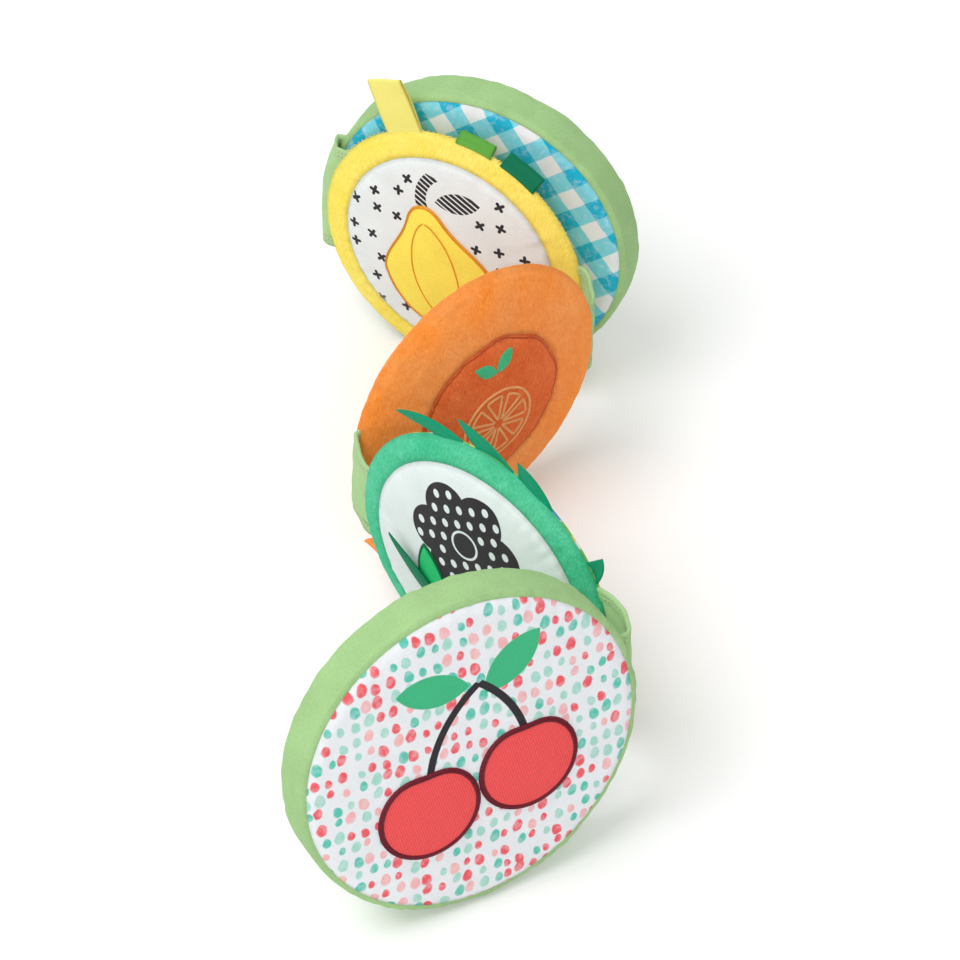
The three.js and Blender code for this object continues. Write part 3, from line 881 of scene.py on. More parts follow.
def weave_group(s, given):
    """Woven cloth: threads over and under, with a soft brushed unevenness."""
    where = given["Vector"]
    x, y = s.parts(where)
    turn = s.over(TURN / 2, given["Thread pitch"])
    warp = s.math("SINE", s.times(x, turn))
    weft = s.math("SINE", s.times(y, turn))
    over = s.size(s.times(warp, weft))
    fuzz = s.noise(where, 0.0016, 3.0)
    broad = s.noise(where, 0.022, 2.0)
    low = s.rest(given["Unevenness"])
    high = s.plus(1.0, given["Unevenness"])
    shade = s.times(s.step(fuzz, 0.3, 0.7, low, high), s.step(broad, 0.3, 0.7, low, high))
    shade = s.times(shade, s.step(over, 0.0, 1.0, 0.955, 1.02))
    height = s.plus(over, s.times(fuzz, 0.8))
    return s.scaled(given["Colour"], shade), height, s.step(fuzz, 0.2, 0.8, 0.92, 0.78)


def seam_group(s, given):
    """Painted shade: darkens cloth close to a round seam, where the seam dips in, in uneven patches."""
    away = s.size(s.minus(s.length(given["Vector"]), given["Seam radius"]))
    near = s.rest(s.math("MINIMUM", s.over(away, given["Reach"]), 1.0))
    shade_patches = s.noise(given["Vector"], 0.006, 2.0)
    amount = s.times(s.times(near, given["Strength"]), s.step(shade_patches, 0.2, 0.8, 0.6, 1.2))
    return (s.scaled(given["Colour"], s.rest(amount)),)


def thread_group(s, given):
    """Satin-stitched or ribbon threads that run across the map's length."""
    x, y = s.parts(given["Vector"])
    leaned = s.minus(x, s.times(y, given["Slant"]))
    phase = s.over(s.times(leaned, TURN), given["Thread pitch"])
    ridge = s.step(s.math("SINE", phase), -1.0, 1.0)
    loose = s.noise(given["Vector"], 0.0011, 2.0)
    low = s.rest(given["Contrast"])
    slack = s.times(given["Contrast"], 0.4)
    uneven = s.step(loose, 0.3, 0.7, s.rest(slack), s.plus(1.0, slack))
    shade = s.times(s.plus(s.times(ridge, given["Contrast"]), low), uneven)
    return s.scaled(given["Colour"], shade), ridge, s.step(ridge, 0.0, 1.0, 0.62, 0.42)


CLOTH_OUTPUTS = {"Colour": "Color", "Height": "Float", "Roughness": "Float"}
# Each group's function, its colour inputs, its number inputs with their defaults, and its outputs
GROUPS = {
    "Brushed pile": (
        pile_group,
        ("Colour", "Brushed colour"),
        {"Patch size": 0.02, "Nap size": 0.0012, "Depth": 1.0},
        CLOTH_OUTPUTS,
    ),
    "Woven cloth": (weave_group, ("Colour",), {"Thread pitch": 0.0006, "Unevenness": 0.05}, CLOTH_OUTPUTS),
    "Seam shade": (
        seam_group,
        ("Colour",),
        {"Seam radius": 0.09, "Reach": 0.003, "Strength": 0.25},
        {"Colour": "Color"},
    ),
    "Satin threads": (
        thread_group,
        ("Colour",),
        {"Thread pitch": 0.00055, "Slant": 0.35, "Contrast": 0.18},
        CLOTH_OUTPUTS,
    ),
}


def group_tree(name):
    """The shader node group with this name, made when it is first asked for."""
    found = bpy.data.node_groups.get(name)
    if found:
        return found
    fill, colours, numbers, outputs = GROUPS[name]
    tree = bpy.data.node_groups.new(name, "ShaderNodeTree")
    inputs = {"Vector": "Vector", **{key: "Color" for key in colours}, **{key: "Float" for key in numbers}}
    for way, sockets in (("INPUT", inputs), ("OUTPUT", outputs)):
        for key, kind in sockets.items():
            made = tree.interface.new_socket(key, in_out=way, socket_type="NodeSocket" + kind)
            if way == "INPUT" and key in numbers:
                made.default_value = numbers[key]
    given = tree.nodes.new("NodeGroupInput").outputs
    out = tree.nodes.new("NodeGroupOutput").inputs
    for value, key in zip(fill(Shader(tree), given), outputs):
        tree.links.new(value, out[key])
    return tree


def new_material(name, paint, relief=0.0, roughness=0.85, sheen=0.0, sheen_tint=WHITE, shine=0.3):
    """A cloth material. paint takes a Shader and gives colour, height and roughness sockets.

    relief is how deep the heights are in metres, and roughness holds where paint gives none.
    """
    name += "_cloth"
    found = bpy.data.materials.get(name)
    if found:
        return found
    material = bpy.data.materials.new(name)
    material.use_nodes = True
    material.node_tree.nodes.clear()
    s = Shader(material.node_tree)
    tint, height, rough = paint(s)
    values = {
        "Base Color": tint,
        "Roughness": roughness if rough is None else rough,
        "Specular IOR Level": shine,
        "Sheen Weight": sheen,
        "Sheen Roughness": 0.4,
        "Sheen Tint": sheen_tint,
    }
    if height is not None and relief:
        values["Normal"] = s.node("Bump", {"Height": height, "Distance": relief}).outputs[0]
    surface = s.node("BsdfPrincipled", values).outputs[0]
    s.node("OutputMaterial", {"Surface": surface})
    return material


def plush(name, tint, brushed, pile, relief, sheen, seams=(), rim_sheen=None):
    """Plush in two tones, with painted shade along its round seams.

    pile holds the patch size, the nap size and the depth of the brushed tone; the last argument holds two
    radii and the tint of a painted sheen that the cloth takes on between them and the rim.
    """

    def paint(s):
        where, flat = s.place(), s.chart()
        ground = tint
        # Painted sheen: between the two radii and the rim the plush takes on a brighter, deeper tint
        if rim_sheen:
            inner, outer, painted_sheen = rim_sheen
            uneven = s.times(s.minus(s.noise(where, 0.03), 0.5), 0.03)
            ground = s.mix(s.step(s.plus(s.length(flat), uneven), inner, outer), tint, painted_sheen)
        values = {"Vector": where, "Colour": ground, "Brushed colour": brushed}
        values.update(zip(("Patch size", "Nap size", "Depth"), pile))
        shown, height, roughness = s.cloth("Brushed pile", values)
        for radius in seams:
            values = {"Vector": flat, "Colour": shown, "Seam radius": radius}
            shown = s.group("Seam shade", values)["Colour"]
        return shown, height, roughness

    return new_material(name, paint, relief, roughness=0.95, sheen=sheen, sheen_tint=brushed, shine=0.1)


def weave_paint(tint, pitch, unevenness):
    """Woven cloth all over."""

    def paint(s):
        values = {"Vector": s.chart(), "Colour": tint, "Thread pitch": pitch, "Unevenness": unevenness}
        return s.cloth("Woven cloth", values)

    return paint


def print_cloth(name, draw, seam_radius, sheen=0.1, relief=0.00007, roughness=0.8):
    """Smooth printed cloth: draw gives the picture's colour, and the seam round it is shaded."""

    def paint(s):
        where = s.chart()
        values = {"Vector": where, "Colour": draw(s, where), "Thread pitch": 0.0005, "Unevenness": 0.022}
        woven, height, dull = s.cloth("Woven cloth", values)
        values = {"Vector": where, "Colour": woven, "Reach": 0.0028, "Strength": 0.3}
        values["Seam radius"] = seam_radius
        return s.group("Seam shade", values)["Colour"], height, dull

    return new_material(name, paint, relief, roughness, sheen)


# Pictures printed on the cloth


def leaf_mask(s, where, place, tilt, long, wide, soft=0.0003):
    """A printed leaf, where two circles overlap. soft is half the width of its blurred edge."""
    x, y = s.parts(s.local(where, place, tilt))
    half, reach = wide / 2, long / 2
    radius = (reach**2 + half**2) / (2 * half)
    inside = s.most(s.minus(radius**2, s.times(x, x)), 0.0)
    edge = s.minus(s.math("SQRT", inside), s.plus(s.size(y), radius - half))
    return s.step(edge, -soft, soft)


def arc_mask(s, where, start, end, bend, width, soft=0.00025):
    """A printed stem from start to end, along a circle that bends away from the straight line."""
    a, b = np.array(start), np.array(end)
    chord = b - a
    long = np.linalg.norm(chord)
    side = np.array([-chord[1], chord[0]]) / long
    radius = (long**2 / 4 + bend**2) / (2 * abs(bend))
    centre = (a + b) / 2 + side * math.copysign(radius - abs(bend), -bend)
    local = s.vector("SUBTRACT", where, (*centre, 0.0))
    off = s.size(s.minus(s.length(local), radius))
    line = s.step(off, width / 2 + soft, width / 2 - soft)
    along = s.vector("DOT_PRODUCT", s.vector("SUBTRACT", where, (*a, 0.0)), (*(chord / long), 0.0))
    within = s.times(s.step(along, -soft, soft), s.step(along, long + soft, long - soft))
    across = s.vector("DOT_PRODUCT", s.vector("SUBTRACT", where, (*a, 0.0)), (*side, 0.0))
    near = s.step(s.size(across), radius * 0.9, radius * 0.8)
    return s.times(s.times(line, within), near)


def scattered(s, where, spacing, shape, shift, randomness, wander, squeeze=(1.0, 1.0)):
    """Small marks in random places: their mask, a random value for each and the place of each.

    shift moves the pattern, wander is how far the marks turn in radians, and squeeze packs them
    closer across or along.
    """
    moved = s.vector("ADD", where, (shift, -shift, 0.0))
    stretched = s.vector("MULTIPLY", moved, (*squeeze, 0.0))
    cells = s.node(
        "TexVoronoi",
        {"Vector": stretched, "Scale": 1 / spacing, "Randomness": randomness},
        voronoi_dimensions="2D",
    )
    random = s.node("SeparateColor", {0: cells.outputs["Color"]}).outputs
    back = s.vector("DIVIDE", cells.outputs["Position"], (*squeeze, 1.0))
    here = s.vector("SUBTRACT", moved, back)
    angle = s.times(s.minus(random[1], 0.5), wander)
    mask = shape(s, s.spun(here, angle), random[2])
    return mask, random[0], s.vector("SUBTRACT", back, (shift, -shift, 0.0))


def front_picture(c):
    """Pebbles in four colours, with the cherries' leaves and stems."""
    apart, pebble_wide, pebble_tall, smallest, largest = 0.0088, 0.00256, 0.0036, 0.76, 1.16
    stops = [(0.0, c.coral), (0.34, c.pink), (0.56, c.pale_mint), (0.8, c.mint)]
    stems_meet, stem_width = (0.006, 0.047), 0.0044

    def pebble(s, here, random):
        x, y = s.parts(here)
        grown = s.step(random, 0.0, 1.0, smallest, largest)
        wide = s.over(x, s.times(grown, pebble_wide))
        tall = s.over(y, s.times(grown, pebble_tall))
        pinch = s.times(tall, 0.16)
        wide = s.times(wide, s.plus(1.0, pinch))
        radius = s.math("SQRT", s.plus(s.times(wide, wide), s.times(tall, tall)))
        uneven = s.times(s.noise(here, 0.0035, 1.0), 0.3)
        return s.step(s.plus(radius, uneven), 1.27, 0.97)

    def draw(s, where):
        wobbled = s.vector("ADD", where, s.wobble(where, 0.006, 1.0, 0.0006))
        mask, pick, _ = scattered(s, wobbled, apart, pebble, 0.31, 0.45, 0.7, (1.12, 0.9))
        ramp = s.node("ValToRGB", {0: pick})
        ramp.color_ramp.interpolation = "CONSTANT"
        for place, tint in stops[2:]:
            ramp.color_ramp.elements.new(place)
        for element, (place, tint) in zip(ramp.color_ramp.elements, stops):
            element.position = place
            element.color = (*tint, 1.0)
        washed = s.times(mask, s.step(s.noise(where, 0.0045, 2.0), 0.35, 0.6, 0.74, 1.0))
        shown = s.mix(washed, c.paper_white, ramp.outputs[0])
        stems = s.most(
            arc_mask(s, where, (-0.0265, -0.001), stems_meet, 0.006, stem_width),
            arc_mask(s, where, (0.0295, 0.006), stems_meet, -0.004, stem_width),
        )
        leaves = s.most(
            leaf_mask(s, where, (0.026, 0.053), 38, 0.044, 0.021),
            leaf_mask(s, where, (-0.020, 0.052), 168, 0.042, 0.020),
        )
        shown = s.mix(leaves, shown, c.leaf)
        return s.mix(stems, shown, c.ink)

    return draw


def flower_picture(c):
    """A black flower with white dots."""
    place, tilt, dots_tilt = (-0.004, 0.027), 8, 26
    count, petal_middle, petal_size, heart_size = 6, 0.0232, 0.0160, 0.0220
    dots_apart, rows_apart, dot_wide, dot_tall = 0.0098, 0.0090, 0.0021, 0.0027
    ring_radius = 0.0088

    def petals(s, here, grow):
        """Six round petals about a round heart, all larger by a distance."""
        x, y = s.parts(here)
        folded = s.math("PINGPONG", s.math("ARCTAN2", y, x), TURN / count / 2)
        reach = s.length(here)
        px = s.minus(s.times(reach, s.math("COSINE", folded)), petal_middle)
        py = s.times(reach, s.math("SINE", folded))
        petal = s.length(s.at(px, py))
        soft = 0.0002
        return s.most(
            s.step(petal, petal_size + grow + soft, petal_size + grow - soft),
            s.step(reach, heart_size + grow + soft, heart_size + grow - soft),
        )

    def draw(s, where):
        here = s.local(where, place, tilt)
        gx, gy = s.parts(s.local(where, place, dots_tilt))
        row = s.over(gy, rows_apart)
        odd = s.math("PINGPONG", s.math("FLOOR", row), 1.0)
        column = s.plus(s.over(gx, dots_apart), s.times(odd, 0.5))
        dx = s.times(s.minus(s.math("FRACT", column), 0.5), dots_apart)
        dy = s.times(s.minus(s.math("FRACT", row), 0.5), rows_apart)
        dot = s.step(s.length(s.at(s.over(dx, dot_wide), s.over(dy, dot_tall))), 1.06, 0.94)
        centre = s.at(s.minus(gx, dx), s.minus(gy, dy))
        spun = s.local(centre, (0.0, 0.0), tilt - dots_tilt)
        whole = s.times(petals(s, spun, -0.0032), s.step(s.length(spun), 0.0125, 0.0127))
        reach = s.length(here)
        ring = s.step(s.size(s.minus(reach, ring_radius)), 0.0009, 0.0006)
        white = s.most(s.times(dot, whole), ring)
        ink = s.times(petals(s, here, 0.0), s.rest(white))
        return s.mix(ink, c.soft_white, c.ink)

    return draw


def cross_mark(s, here, _random):
    """A small cross of two short strokes."""
    half_length = 0.0027
    x, y = s.parts(here)
    bars = []
    for along, across in ((x, y), (y, x)):
        over = s.most(s.minus(s.size(along), half_length), 0.0)
        bars.append(s.step(s.length(s.at(over, across)), 0.00125, 0.00095))
    return s.most(*bars)


def pear_picture(c):
    """White ground with small black crosses, a striped stem and a striped leaf."""
    apart, stripe, stripe_tilt, edge = 0.0175, 0.00165, 62, 0.0690

    def draw(s, where):
        crosses, _, middles = scattered(s, where, apart, cross_mark, 0.07, 0.45, 3.1)
        stem = arc_mask(s, where, (-0.0165, 0.0365), (-0.0105, 0.0610), 0.004, 0.0078)
        leaf = leaf_mask(s, where, (0.0075, 0.0475), 14, 0.032, 0.0145)
        # Crosses keep clear of the stem, the leaf and the seam
        room = leaf_mask(s, middles, (0.0005, 0.0485), 22, 0.066, 0.036, 0.0001)
        inner = s.step(s.length(middles), edge + 0.0002, edge)
        x, _ = s.parts(s.local(where, (0.0, 0.045), stripe_tilt))
        stripes = s.step(s.math("PINGPONG", x, stripe), 0.00040, 0.00055)
        ink = s.times(s.most(stem, leaf), stripes)
        crosses = s.times(s.times(crosses, inner), s.rest(room))
        return s.mix(s.most(ink, crosses), c.soft_white, c.ink)

    return draw


def gingham_picture(c):
    """Half-inch checks turned a little, on brushed cotton."""
    check, tilt = 0.0125, 37

    def draw(s, where):
        wobbled = s.vector("ADD", where, s.wobble(where, 0.004, 2.0, 0.0008))
        spots = s.parts(s.local(wobbled, (0.003, 0.002), tilt))
        bands = [s.step(s.math("PINGPONG", v, check), check / 2 - 0.0003, check / 2 + 0.0003) for v in spots]
        shown = s.mix(s.most(*bands), c.paper_white, c.gingham_pale)
        shown = s.mix(s.times(*bands), shown, c.gingham)
        frost = s.step(s.noise(where, 0.0045, 4.0, Distortion=0.8), 0.45, 0.75, 0.0, 0.30)
        return s.mix(frost, shown, c.paper_white)

    return draw


def rear_picture():
    """Short strokes in white, yellow and blue on lime."""
    half_length = 0.005

    def stroke(s, here, _random):
        x, y = s.parts(here)
        over = s.most(s.minus(s.size(y), half_length), 0.0)
        rough = s.times(s.noise(here, 0.002, 2.0), 0.0012)
        away = s.plus(s.length(s.at(x, over)), rough)
        return s.step(away, 0.0034, 0.0028)

    def draw(s, where):
        shown = srgb("8cc84f")
        for shift, tint, apart in ((0.4, "f6f4ee", 0.017), (0.83, "f4e05a", 0.016), (1.31, "4aa9dc", 0.021)):
            mask, _, _ = scattered(s, where, apart, stroke, shift, 0.8, 1.6)
            shown = s.mix(mask, shown, srgb(tint))
        return shown

    return draw


# Cloths

GUSSET_PITCH = 0.0007
WEB_UNEVENNESS = 0.04


def gusset_cloth(name, tint, unevenness):
    """The light green cloth of bands, rear panels and webs."""
    paint = weave_paint(tint, GUSSET_PITCH, unevenness)
    kind = {"roughness": 0.88, "sheen": 0.2, "sheen_tint": tint, "shine": 0.2}
    return new_material(name, paint, 0.12 * MM, **kind)


def orange_plush(c, name, seams=()):
    """The orange disc's plush, with a painted sheen that makes it brighter and deeper in tone towards its
    rim.
    """
    rim_sheen = (0.062, 0.086, c.orange_rim_sheen) if seams else None
    return plush(name, c.orange, c.orange_light, (0.045, 0.0011, 0.55), 0.0008, 0.3, seams, rim_sheen)


def yellow_plush(c, name, seams):
    """The yellow disc's short plush."""
    return plush(name, c.yellow, c.yellow_light, (0.04, 0.001, 0.5), 0.0005, 0.25, seams)


def hem_cloth(c):
    """The webs' cloth with two rows of small stitches along a hem, on both of its sides."""
    fold, stitch_rows = 0.0081, (0.0031, 0.0062)

    def paint(s):
        woven, relief, roughness = weave_paint(c.web, GUSSET_PITCH, WEB_UNEVENNESS)(s)
        x, y = s.parts(s.chart())
        side = s.size(s.minus(y, fold))
        dash = s.step(s.math("PINGPONG", x, 0.0013), 0.00035, 0.0005)
        rows, grooves = [], []
        for row in stitch_rows:
            off = s.size(s.minus(side, row))
            rows.append(s.times(dash, s.step(off, 0.0004, 0.00028)))
            grooves.append(s.step(off, 0.0011, 0.0))
        stitch, groove = s.most(*rows), s.most(*grooves)
        # Painted shade: the cloth is darker in the grooves beside the stitches
        groove_shade = s.scaled(woven, s.rest(s.times(groove, 0.22)))
        height = s.plus(relief, s.times(s.minus(stitch, groove), 3.0))
        return s.mix(stitch, groove_shade, srgb("c9e2b4")), height, roughness

    kind = {"roughness": 0.88, "sheen": 0.2, "sheen_tint": c.web, "shine": 0.2}
    return new_material("hem", paint, 0.15 * MM, **kind)


def cherry_cloth(tint):
    """Red cloth with fine ribs that run slantwise."""

    def paint(s):
        x, _ = s.parts(s.local(s.chart(), (0.0, 0.0), 12))
        wave = s.math("SINE", s.times(x, TURN / 0.00135))
        fuzz = s.noise(s.chart(), 0.0011, 3.0)
        shade = s.times(s.step(wave, -1.0, 0.6, 0.86, 1.03), s.step(fuzz, 0.25, 0.75, 0.93, 1.06))
        return s.scaled(tint, shade), s.plus(wave, s.times(fuzz, 1.5)), None

    return new_material("cherry_red", paint, 0.13 * MM, roughness=0.8, sheen=0.2, sheen_tint=tint)


def satin(name, tint):
    """Plain satin with a faint cross-grain."""

    def paint(s):
        grain = s.noise(s.vector("MULTIPLY", s.chart(), (1.0, 9.0, 1.0)), 0.004, 3.0)
        shade = s.step(grain, 0.3, 0.7, 0.93, 1.06)
        return s.scaled(tint, shade), grain, s.step(grain, 0.3, 0.7, 0.5, 0.38)

    return new_material(name, paint, 0.06 * MM, shine=0.12)


def stuffing_fibre(c):
    """Loose white polyester fibre."""

    def paint(s):
        where = s.place()
        fibre = s.noise(where, 0.0025, 5.0, Distortion=2.0)
        shade = s.step(fibre, 0.3, 0.7, 0.85, 1.0)
        return s.scaled(c.stuffing, shade), fibre, None

    return new_material("stuffing", paint, 0.8 * MM, roughness=0.95)


def thread(name, tint, pitch=STITCH_PITCH):
    """Satin stitches."""

    def paint(s):
        return s.cloth("Satin threads", {"Vector": s.chart(), "Colour": tint, "Thread pitch": pitch})

    return new_material(name, paint, 0.12 * MM, roughness=0.5)


# The discs


def end_disc(disc, sizes, colours, seed, front_cover, rear_cover, picture):
    """Band, front panel and rear panel of a flat end disc, over their stuffing.

    front_cover holds the front panel's name, its slot, which is not used, and the node it stands for.
    """
    rows, (front_seam, rear_seam) = end_profile(sizes)
    skin = skin_grid(rows, sizes.end_trim)
    seams, calm = (front_seam, rear_seam), (4.0 * MM, 4.0 * MM)
    grid = blown(skin, seams, seed, slack=0.012, cap=0.5 * MM, finest=20, calm=calm)
    band_cloth = gusset_cloth("gusset_green", colours.gusset, 0.045)
    firsts, lasts = (0, front_seam, rear_seam), (front_seam, rear_seam, len(rows) - 1)
    sections = list(zip(firsts, lasts, END_FINE_ROWS, (0.0, 0.0, 0.0)))
    panel, band, rear = covers(grid, sections, seed + 10, sizes, (1.0, 1.0))
    name = disc.name
    cover, slot, node = front_cover
    panel = add_cover(disc, cover, panel, picture, slot, [node], sizes, (True, False))
    chart = band_chart(band, sizes.end_radius)
    add_cover(disc, f"{name}_band", band, band_cloth, "gusset_green", [f"{name}_gusset"], sizes, chart=chart)
    node = f"{name}_rear_panel"
    add_cover(disc, rear_cover, rear, band_cloth, "gusset_green", [node], sizes, (False, True))
    add_stuffing(disc, rows, stuffing_fibre(colours))
    return Surface(panel)


def middle_disc(disc, sizes, thickness, panel_radius, seed, looks, wobble=0.0, pile=0.09 * MM, cap=1.8 * MM):
    """Panel, ring and back of a pillow disc, over their stuffing.

    looks hold for each of the three its material, its slot, which is not used, and whether it is plush;
    wobble is how far the panel's seam strays, pile the height of the tufts and cap how far the stuffing
    swells.
    Gives the panel's surface, the rim's line and the panel's edge.
    """
    rows, (panel_seam, rim) = pillow_profile(sizes.middle_radius, thickness, panel_radius)
    seams, calm = (panel_seam, rim), (4.0 * MM, 12.0 * MM)
    grid = blown(skin_grid(rows), seams, seed, slack=0.015, cap=cap, finest=24, calm=calm)
    name = disc.name
    piles = [pile if plush else 0.0 for _, _, plush in looks]
    firsts, lasts = (0, panel_seam, rim), (panel_seam, rim, len(rows) - 1)
    sections = list(zip(firsts, lasts, MIDDLE_FINE_ROWS, piles))
    panel, ring, back = covers(grid, sections, seed + 10, sizes, (1.0, 0.35), wobble)
    panel_look, ring_look, back_look = (look[:2] for look in looks)
    add_cover(disc, f"{name}_plush_ring", ring, *ring_look, [f"{name}_ring"], sizes)
    panel = add_cover(disc, f"{name}_inset", panel, *panel_look, [f"{name}_panel"], sizes, (True, False))
    add_cover(disc, f"{name}_back", back, *back_look, [f"{name}_rear_cover"], sizes, (False, True))
    add_stuffing(disc, rows, stuffing_fibre(sizes.id_data.roll_colours))
    return Surface(panel), grid[rim], panel[-3, :, :2]


# Middles of the cherries on the front disc
CHERRIES = {"left": (-0.029, -0.025), "right": (0.030, -0.017)}
# Places of the other patches on their discs, and their tilts in degrees
STALK = ((0.0, -0.010), -8)
STALK_LEAF = ((-0.0200, -0.0400), 16)
LOOSE_LEAF = ((-0.012, -0.038), 48)
CITRUS_LEAVES = {"left": ((0.001, 0.0315), 62), "right": ((0.001, 0.0315), -48)}
PEAR = ((-0.006, -0.008), 14)


class TUMMY_OT_front_disc(bpy.types.Operator):
    """Build the front disc: light green band, pebble print and two cherries"""

    bl_idname = "tummy_roll.front_disc"
    bl_label = "Front disc"

    def execute(self, context):
        sizes, c = context.scene.roll_sizes, context.scene.roll_colours
        disc = Disc("front")
        seam = sizes.end_radius - sizes.end_corner
        picture = print_cloth("pebble_print", front_picture(c), seam)
        front = ("front_picture", "pebble_print", "front_picture_panel")
        surface = end_disc(disc, sizes, c, 11, front, "front_rear", picture)
        red, edge = cherry_cloth(c.cherry), thread("cherry_thread", c.cherry_edge)
        for side, place in CHERRIES.items():
            outline = turned(cherry_outline(), place)
            name, node = f"cherry_patch_{side}", f"cherry_{side}"
            add_patch(disc, name, outline, surface, (0.3, 0.7, 1.3), red, "cherry_red", [node])
            add_cord(disc, f"cherry_edge_{side}", outline, surface, (3.3, 1.25, 0.35), edge, "cherry_red")
        return {"FINISHED"}


class TUMMY_OT_green_disc(bpy.types.Operator):
    """Build the green disc: emerald plush, dotted flower, satin stalk and loose leaf"""

    bl_idname = "tummy_roll.green_disc"
    bl_label = "Green disc"

    def execute(self, context):
        sizes, c = context.scene.roll_sizes, context.scene.roll_colours
        disc = Disc("green")
        panel, rim = sizes.green_panel, sizes.middle_radius
        tones, pile = (c.emerald, c.emerald_light), (0.04, 0.001, 0.7)
        looks = [
            (print_cloth("flower_print", flower_picture(c), panel), "flower_print", False),
            (plush("emerald_plush", *tones, pile, 0.0007, 0.3, (panel, rim)), "emerald_plush", True),
            (print_cloth("rear_print", rear_picture(), rim, 0.15), "rear_print", False),
        ]
        surface, _, _ = middle_disc(disc, sizes, sizes.green_thickness, panel, 31, looks)
        green, edge = satin("stalk_green", c.stalk), thread("stalk_thread", c.stalk_edge)
        heights = (0.3, 0.6, 0.5)
        outline = turned(stalk_outline(), *STALK)
        add_patch(disc, "stalk_patch", outline, surface, heights, green, "stalk_green", ["flower_stalk"])
        add_cord(disc, "stalk_edge", outline, surface, (2.0, 0.9, 0.3), edge, "stalk_green")
        outline = turned(leaf_outline(0.050, 0.019), *STALK_LEAF)
        add_patch(disc, "leaf_patch", outline, surface, heights, green, "stalk_green", rings=10)
        add_cord(disc, "leaf_patch_edge", outline, surface, (1.8, 0.9, 0.3), edge, "stalk_green")
        self.add_leaf(disc, surface, c)
        return {"FINISHED"}

    def add_leaf(self, disc, surface, c):
        """The loose satin leaf beside the stalk, free at its tip."""
        long, rows, columns = 62 * MM, 36, 9
        t = np.linspace(0, 1, rows)[:, None]
        w = np.linspace(-1, 1, columns)
        half = 4.6 * MM * np.sin(math.pi * t**0.8) ** 0.8 + 0.2 * MM
        chart = flat_map(half * w, long * t)
        flat = turned(chart.reshape(-1, 2), *LOOSE_LEAF)
        depth = surface.depth(flat).reshape(rows, columns)
        lift = (2.0 + 3.4 * t**1.6) * MM + 0.8 * MM * (1 - w**2) * (1 - t)
        grid = np.dstack([flat.reshape(rows, columns, 2), depth + lift])
        mesh = grid_mesh("leaf_flap", disc.to_row(grid)[:, ::-1], chart[:, ::-1], wrap=False)
        # Painted shade: the loose leaf takes a darker copy of the satin green
        material = satin("deep_satin_green", c.deep_satin)
        node = "flower_leaf"
        leaf = add_piece("leaf_flap", mesh, material, "satin_green", disc.body, [node], SATIN_THICKNESS)


class TUMMY_OT_orange_disc(bpy.types.Operator):
    """Build the orange disc: puffy plush round a rust velour middle with a stitched citrus wheel"""

    bl_idname = "tummy_roll.orange_disc"
    bl_label = "Orange disc"

    def execute(self, context):
        sizes, c = context.scene.roll_sizes, context.scene.roll_colours
        disc = Disc("orange")
        panel, rim = sizes.orange_panel, sizes.middle_radius
        tones, pile = (c.velour, c.velour_light), (0.035, 0.0009, 0.6)
        looks = [
            (plush("orange_velour", *tones, pile, 0.0004, 0.25, (panel,)), "orange_velour", False),
            (orange_plush(c, "orange_plush", (panel, rim)), "orange_plush", True),
            (orange_plush(c, "orange_back", (rim,)), "orange_plush", True),
        ]
        surface, _, edge = middle_disc(
            disc, sizes, sizes.orange_thickness, panel, 51, looks, 0.9 * MM, 0.14 * MM, 3.0 * MM
        )
        self.add_wheel(disc, surface)
        pitch, size = 1.6 * MM, (0.75, 0.35, 0.0)
        seam = thread("velour_thread", srgb("b8481d"), pitch)
        add_cord(disc, "velour_seam", edge * 0.965, surface, size, seam, "orange_velour", pitch=pitch)
        felt = new_material("leaf_felt", weave_paint(c.leaf, 0.0006, 0.05), 0.1 * MM, sheen=0.2)
        for side, place in CITRUS_LEAVES.items():
            outline, name = turned(leaf_outline(0.017, 0.0085), *place), f"citrus_leaf_{side}"
            add_patch(disc, name, outline, surface, (0.1, 0.5, 0.3), felt, "orange_velour", rings=8)
        return {"FINISHED"}

    def add_wheel(self, disc, surface):
        """Rounded segments of a cut citrus fruit, sewn in light orange thread."""
        place, segments, gap, first_tilt = (0.001, -0.008), 8, 0.24, 8
        rim, outer, inner = 25 * MM, 21 * MM, 3.2 * MM
        lines = {"citrus_rim": turned(circle(rim, np.linspace(0, TURN, 90)[:-1]), place)}
        half = (TURN / segments - gap) / 2
        arc = circle(outer, np.linspace(-half, half, 14))
        wedge = blurred(evenly(np.concatenate([[(inner, 0.0)], arc]), 0.4 * MM)[0], 16)
        for k in range(segments):
            lines[f"citrus_segment_{k + 1}"] = turned(wedge, place, 360 / segments * k + first_tilt)
        light = thread("citrus_thread", srgb("ffb877"))
        for name, line in lines.items():
            size = (1.6, 0.6, 0.1)
            add_cord(disc, name, line, surface, size, light, "orange_velour", pitch=0.9 * MM, slant=0.8)


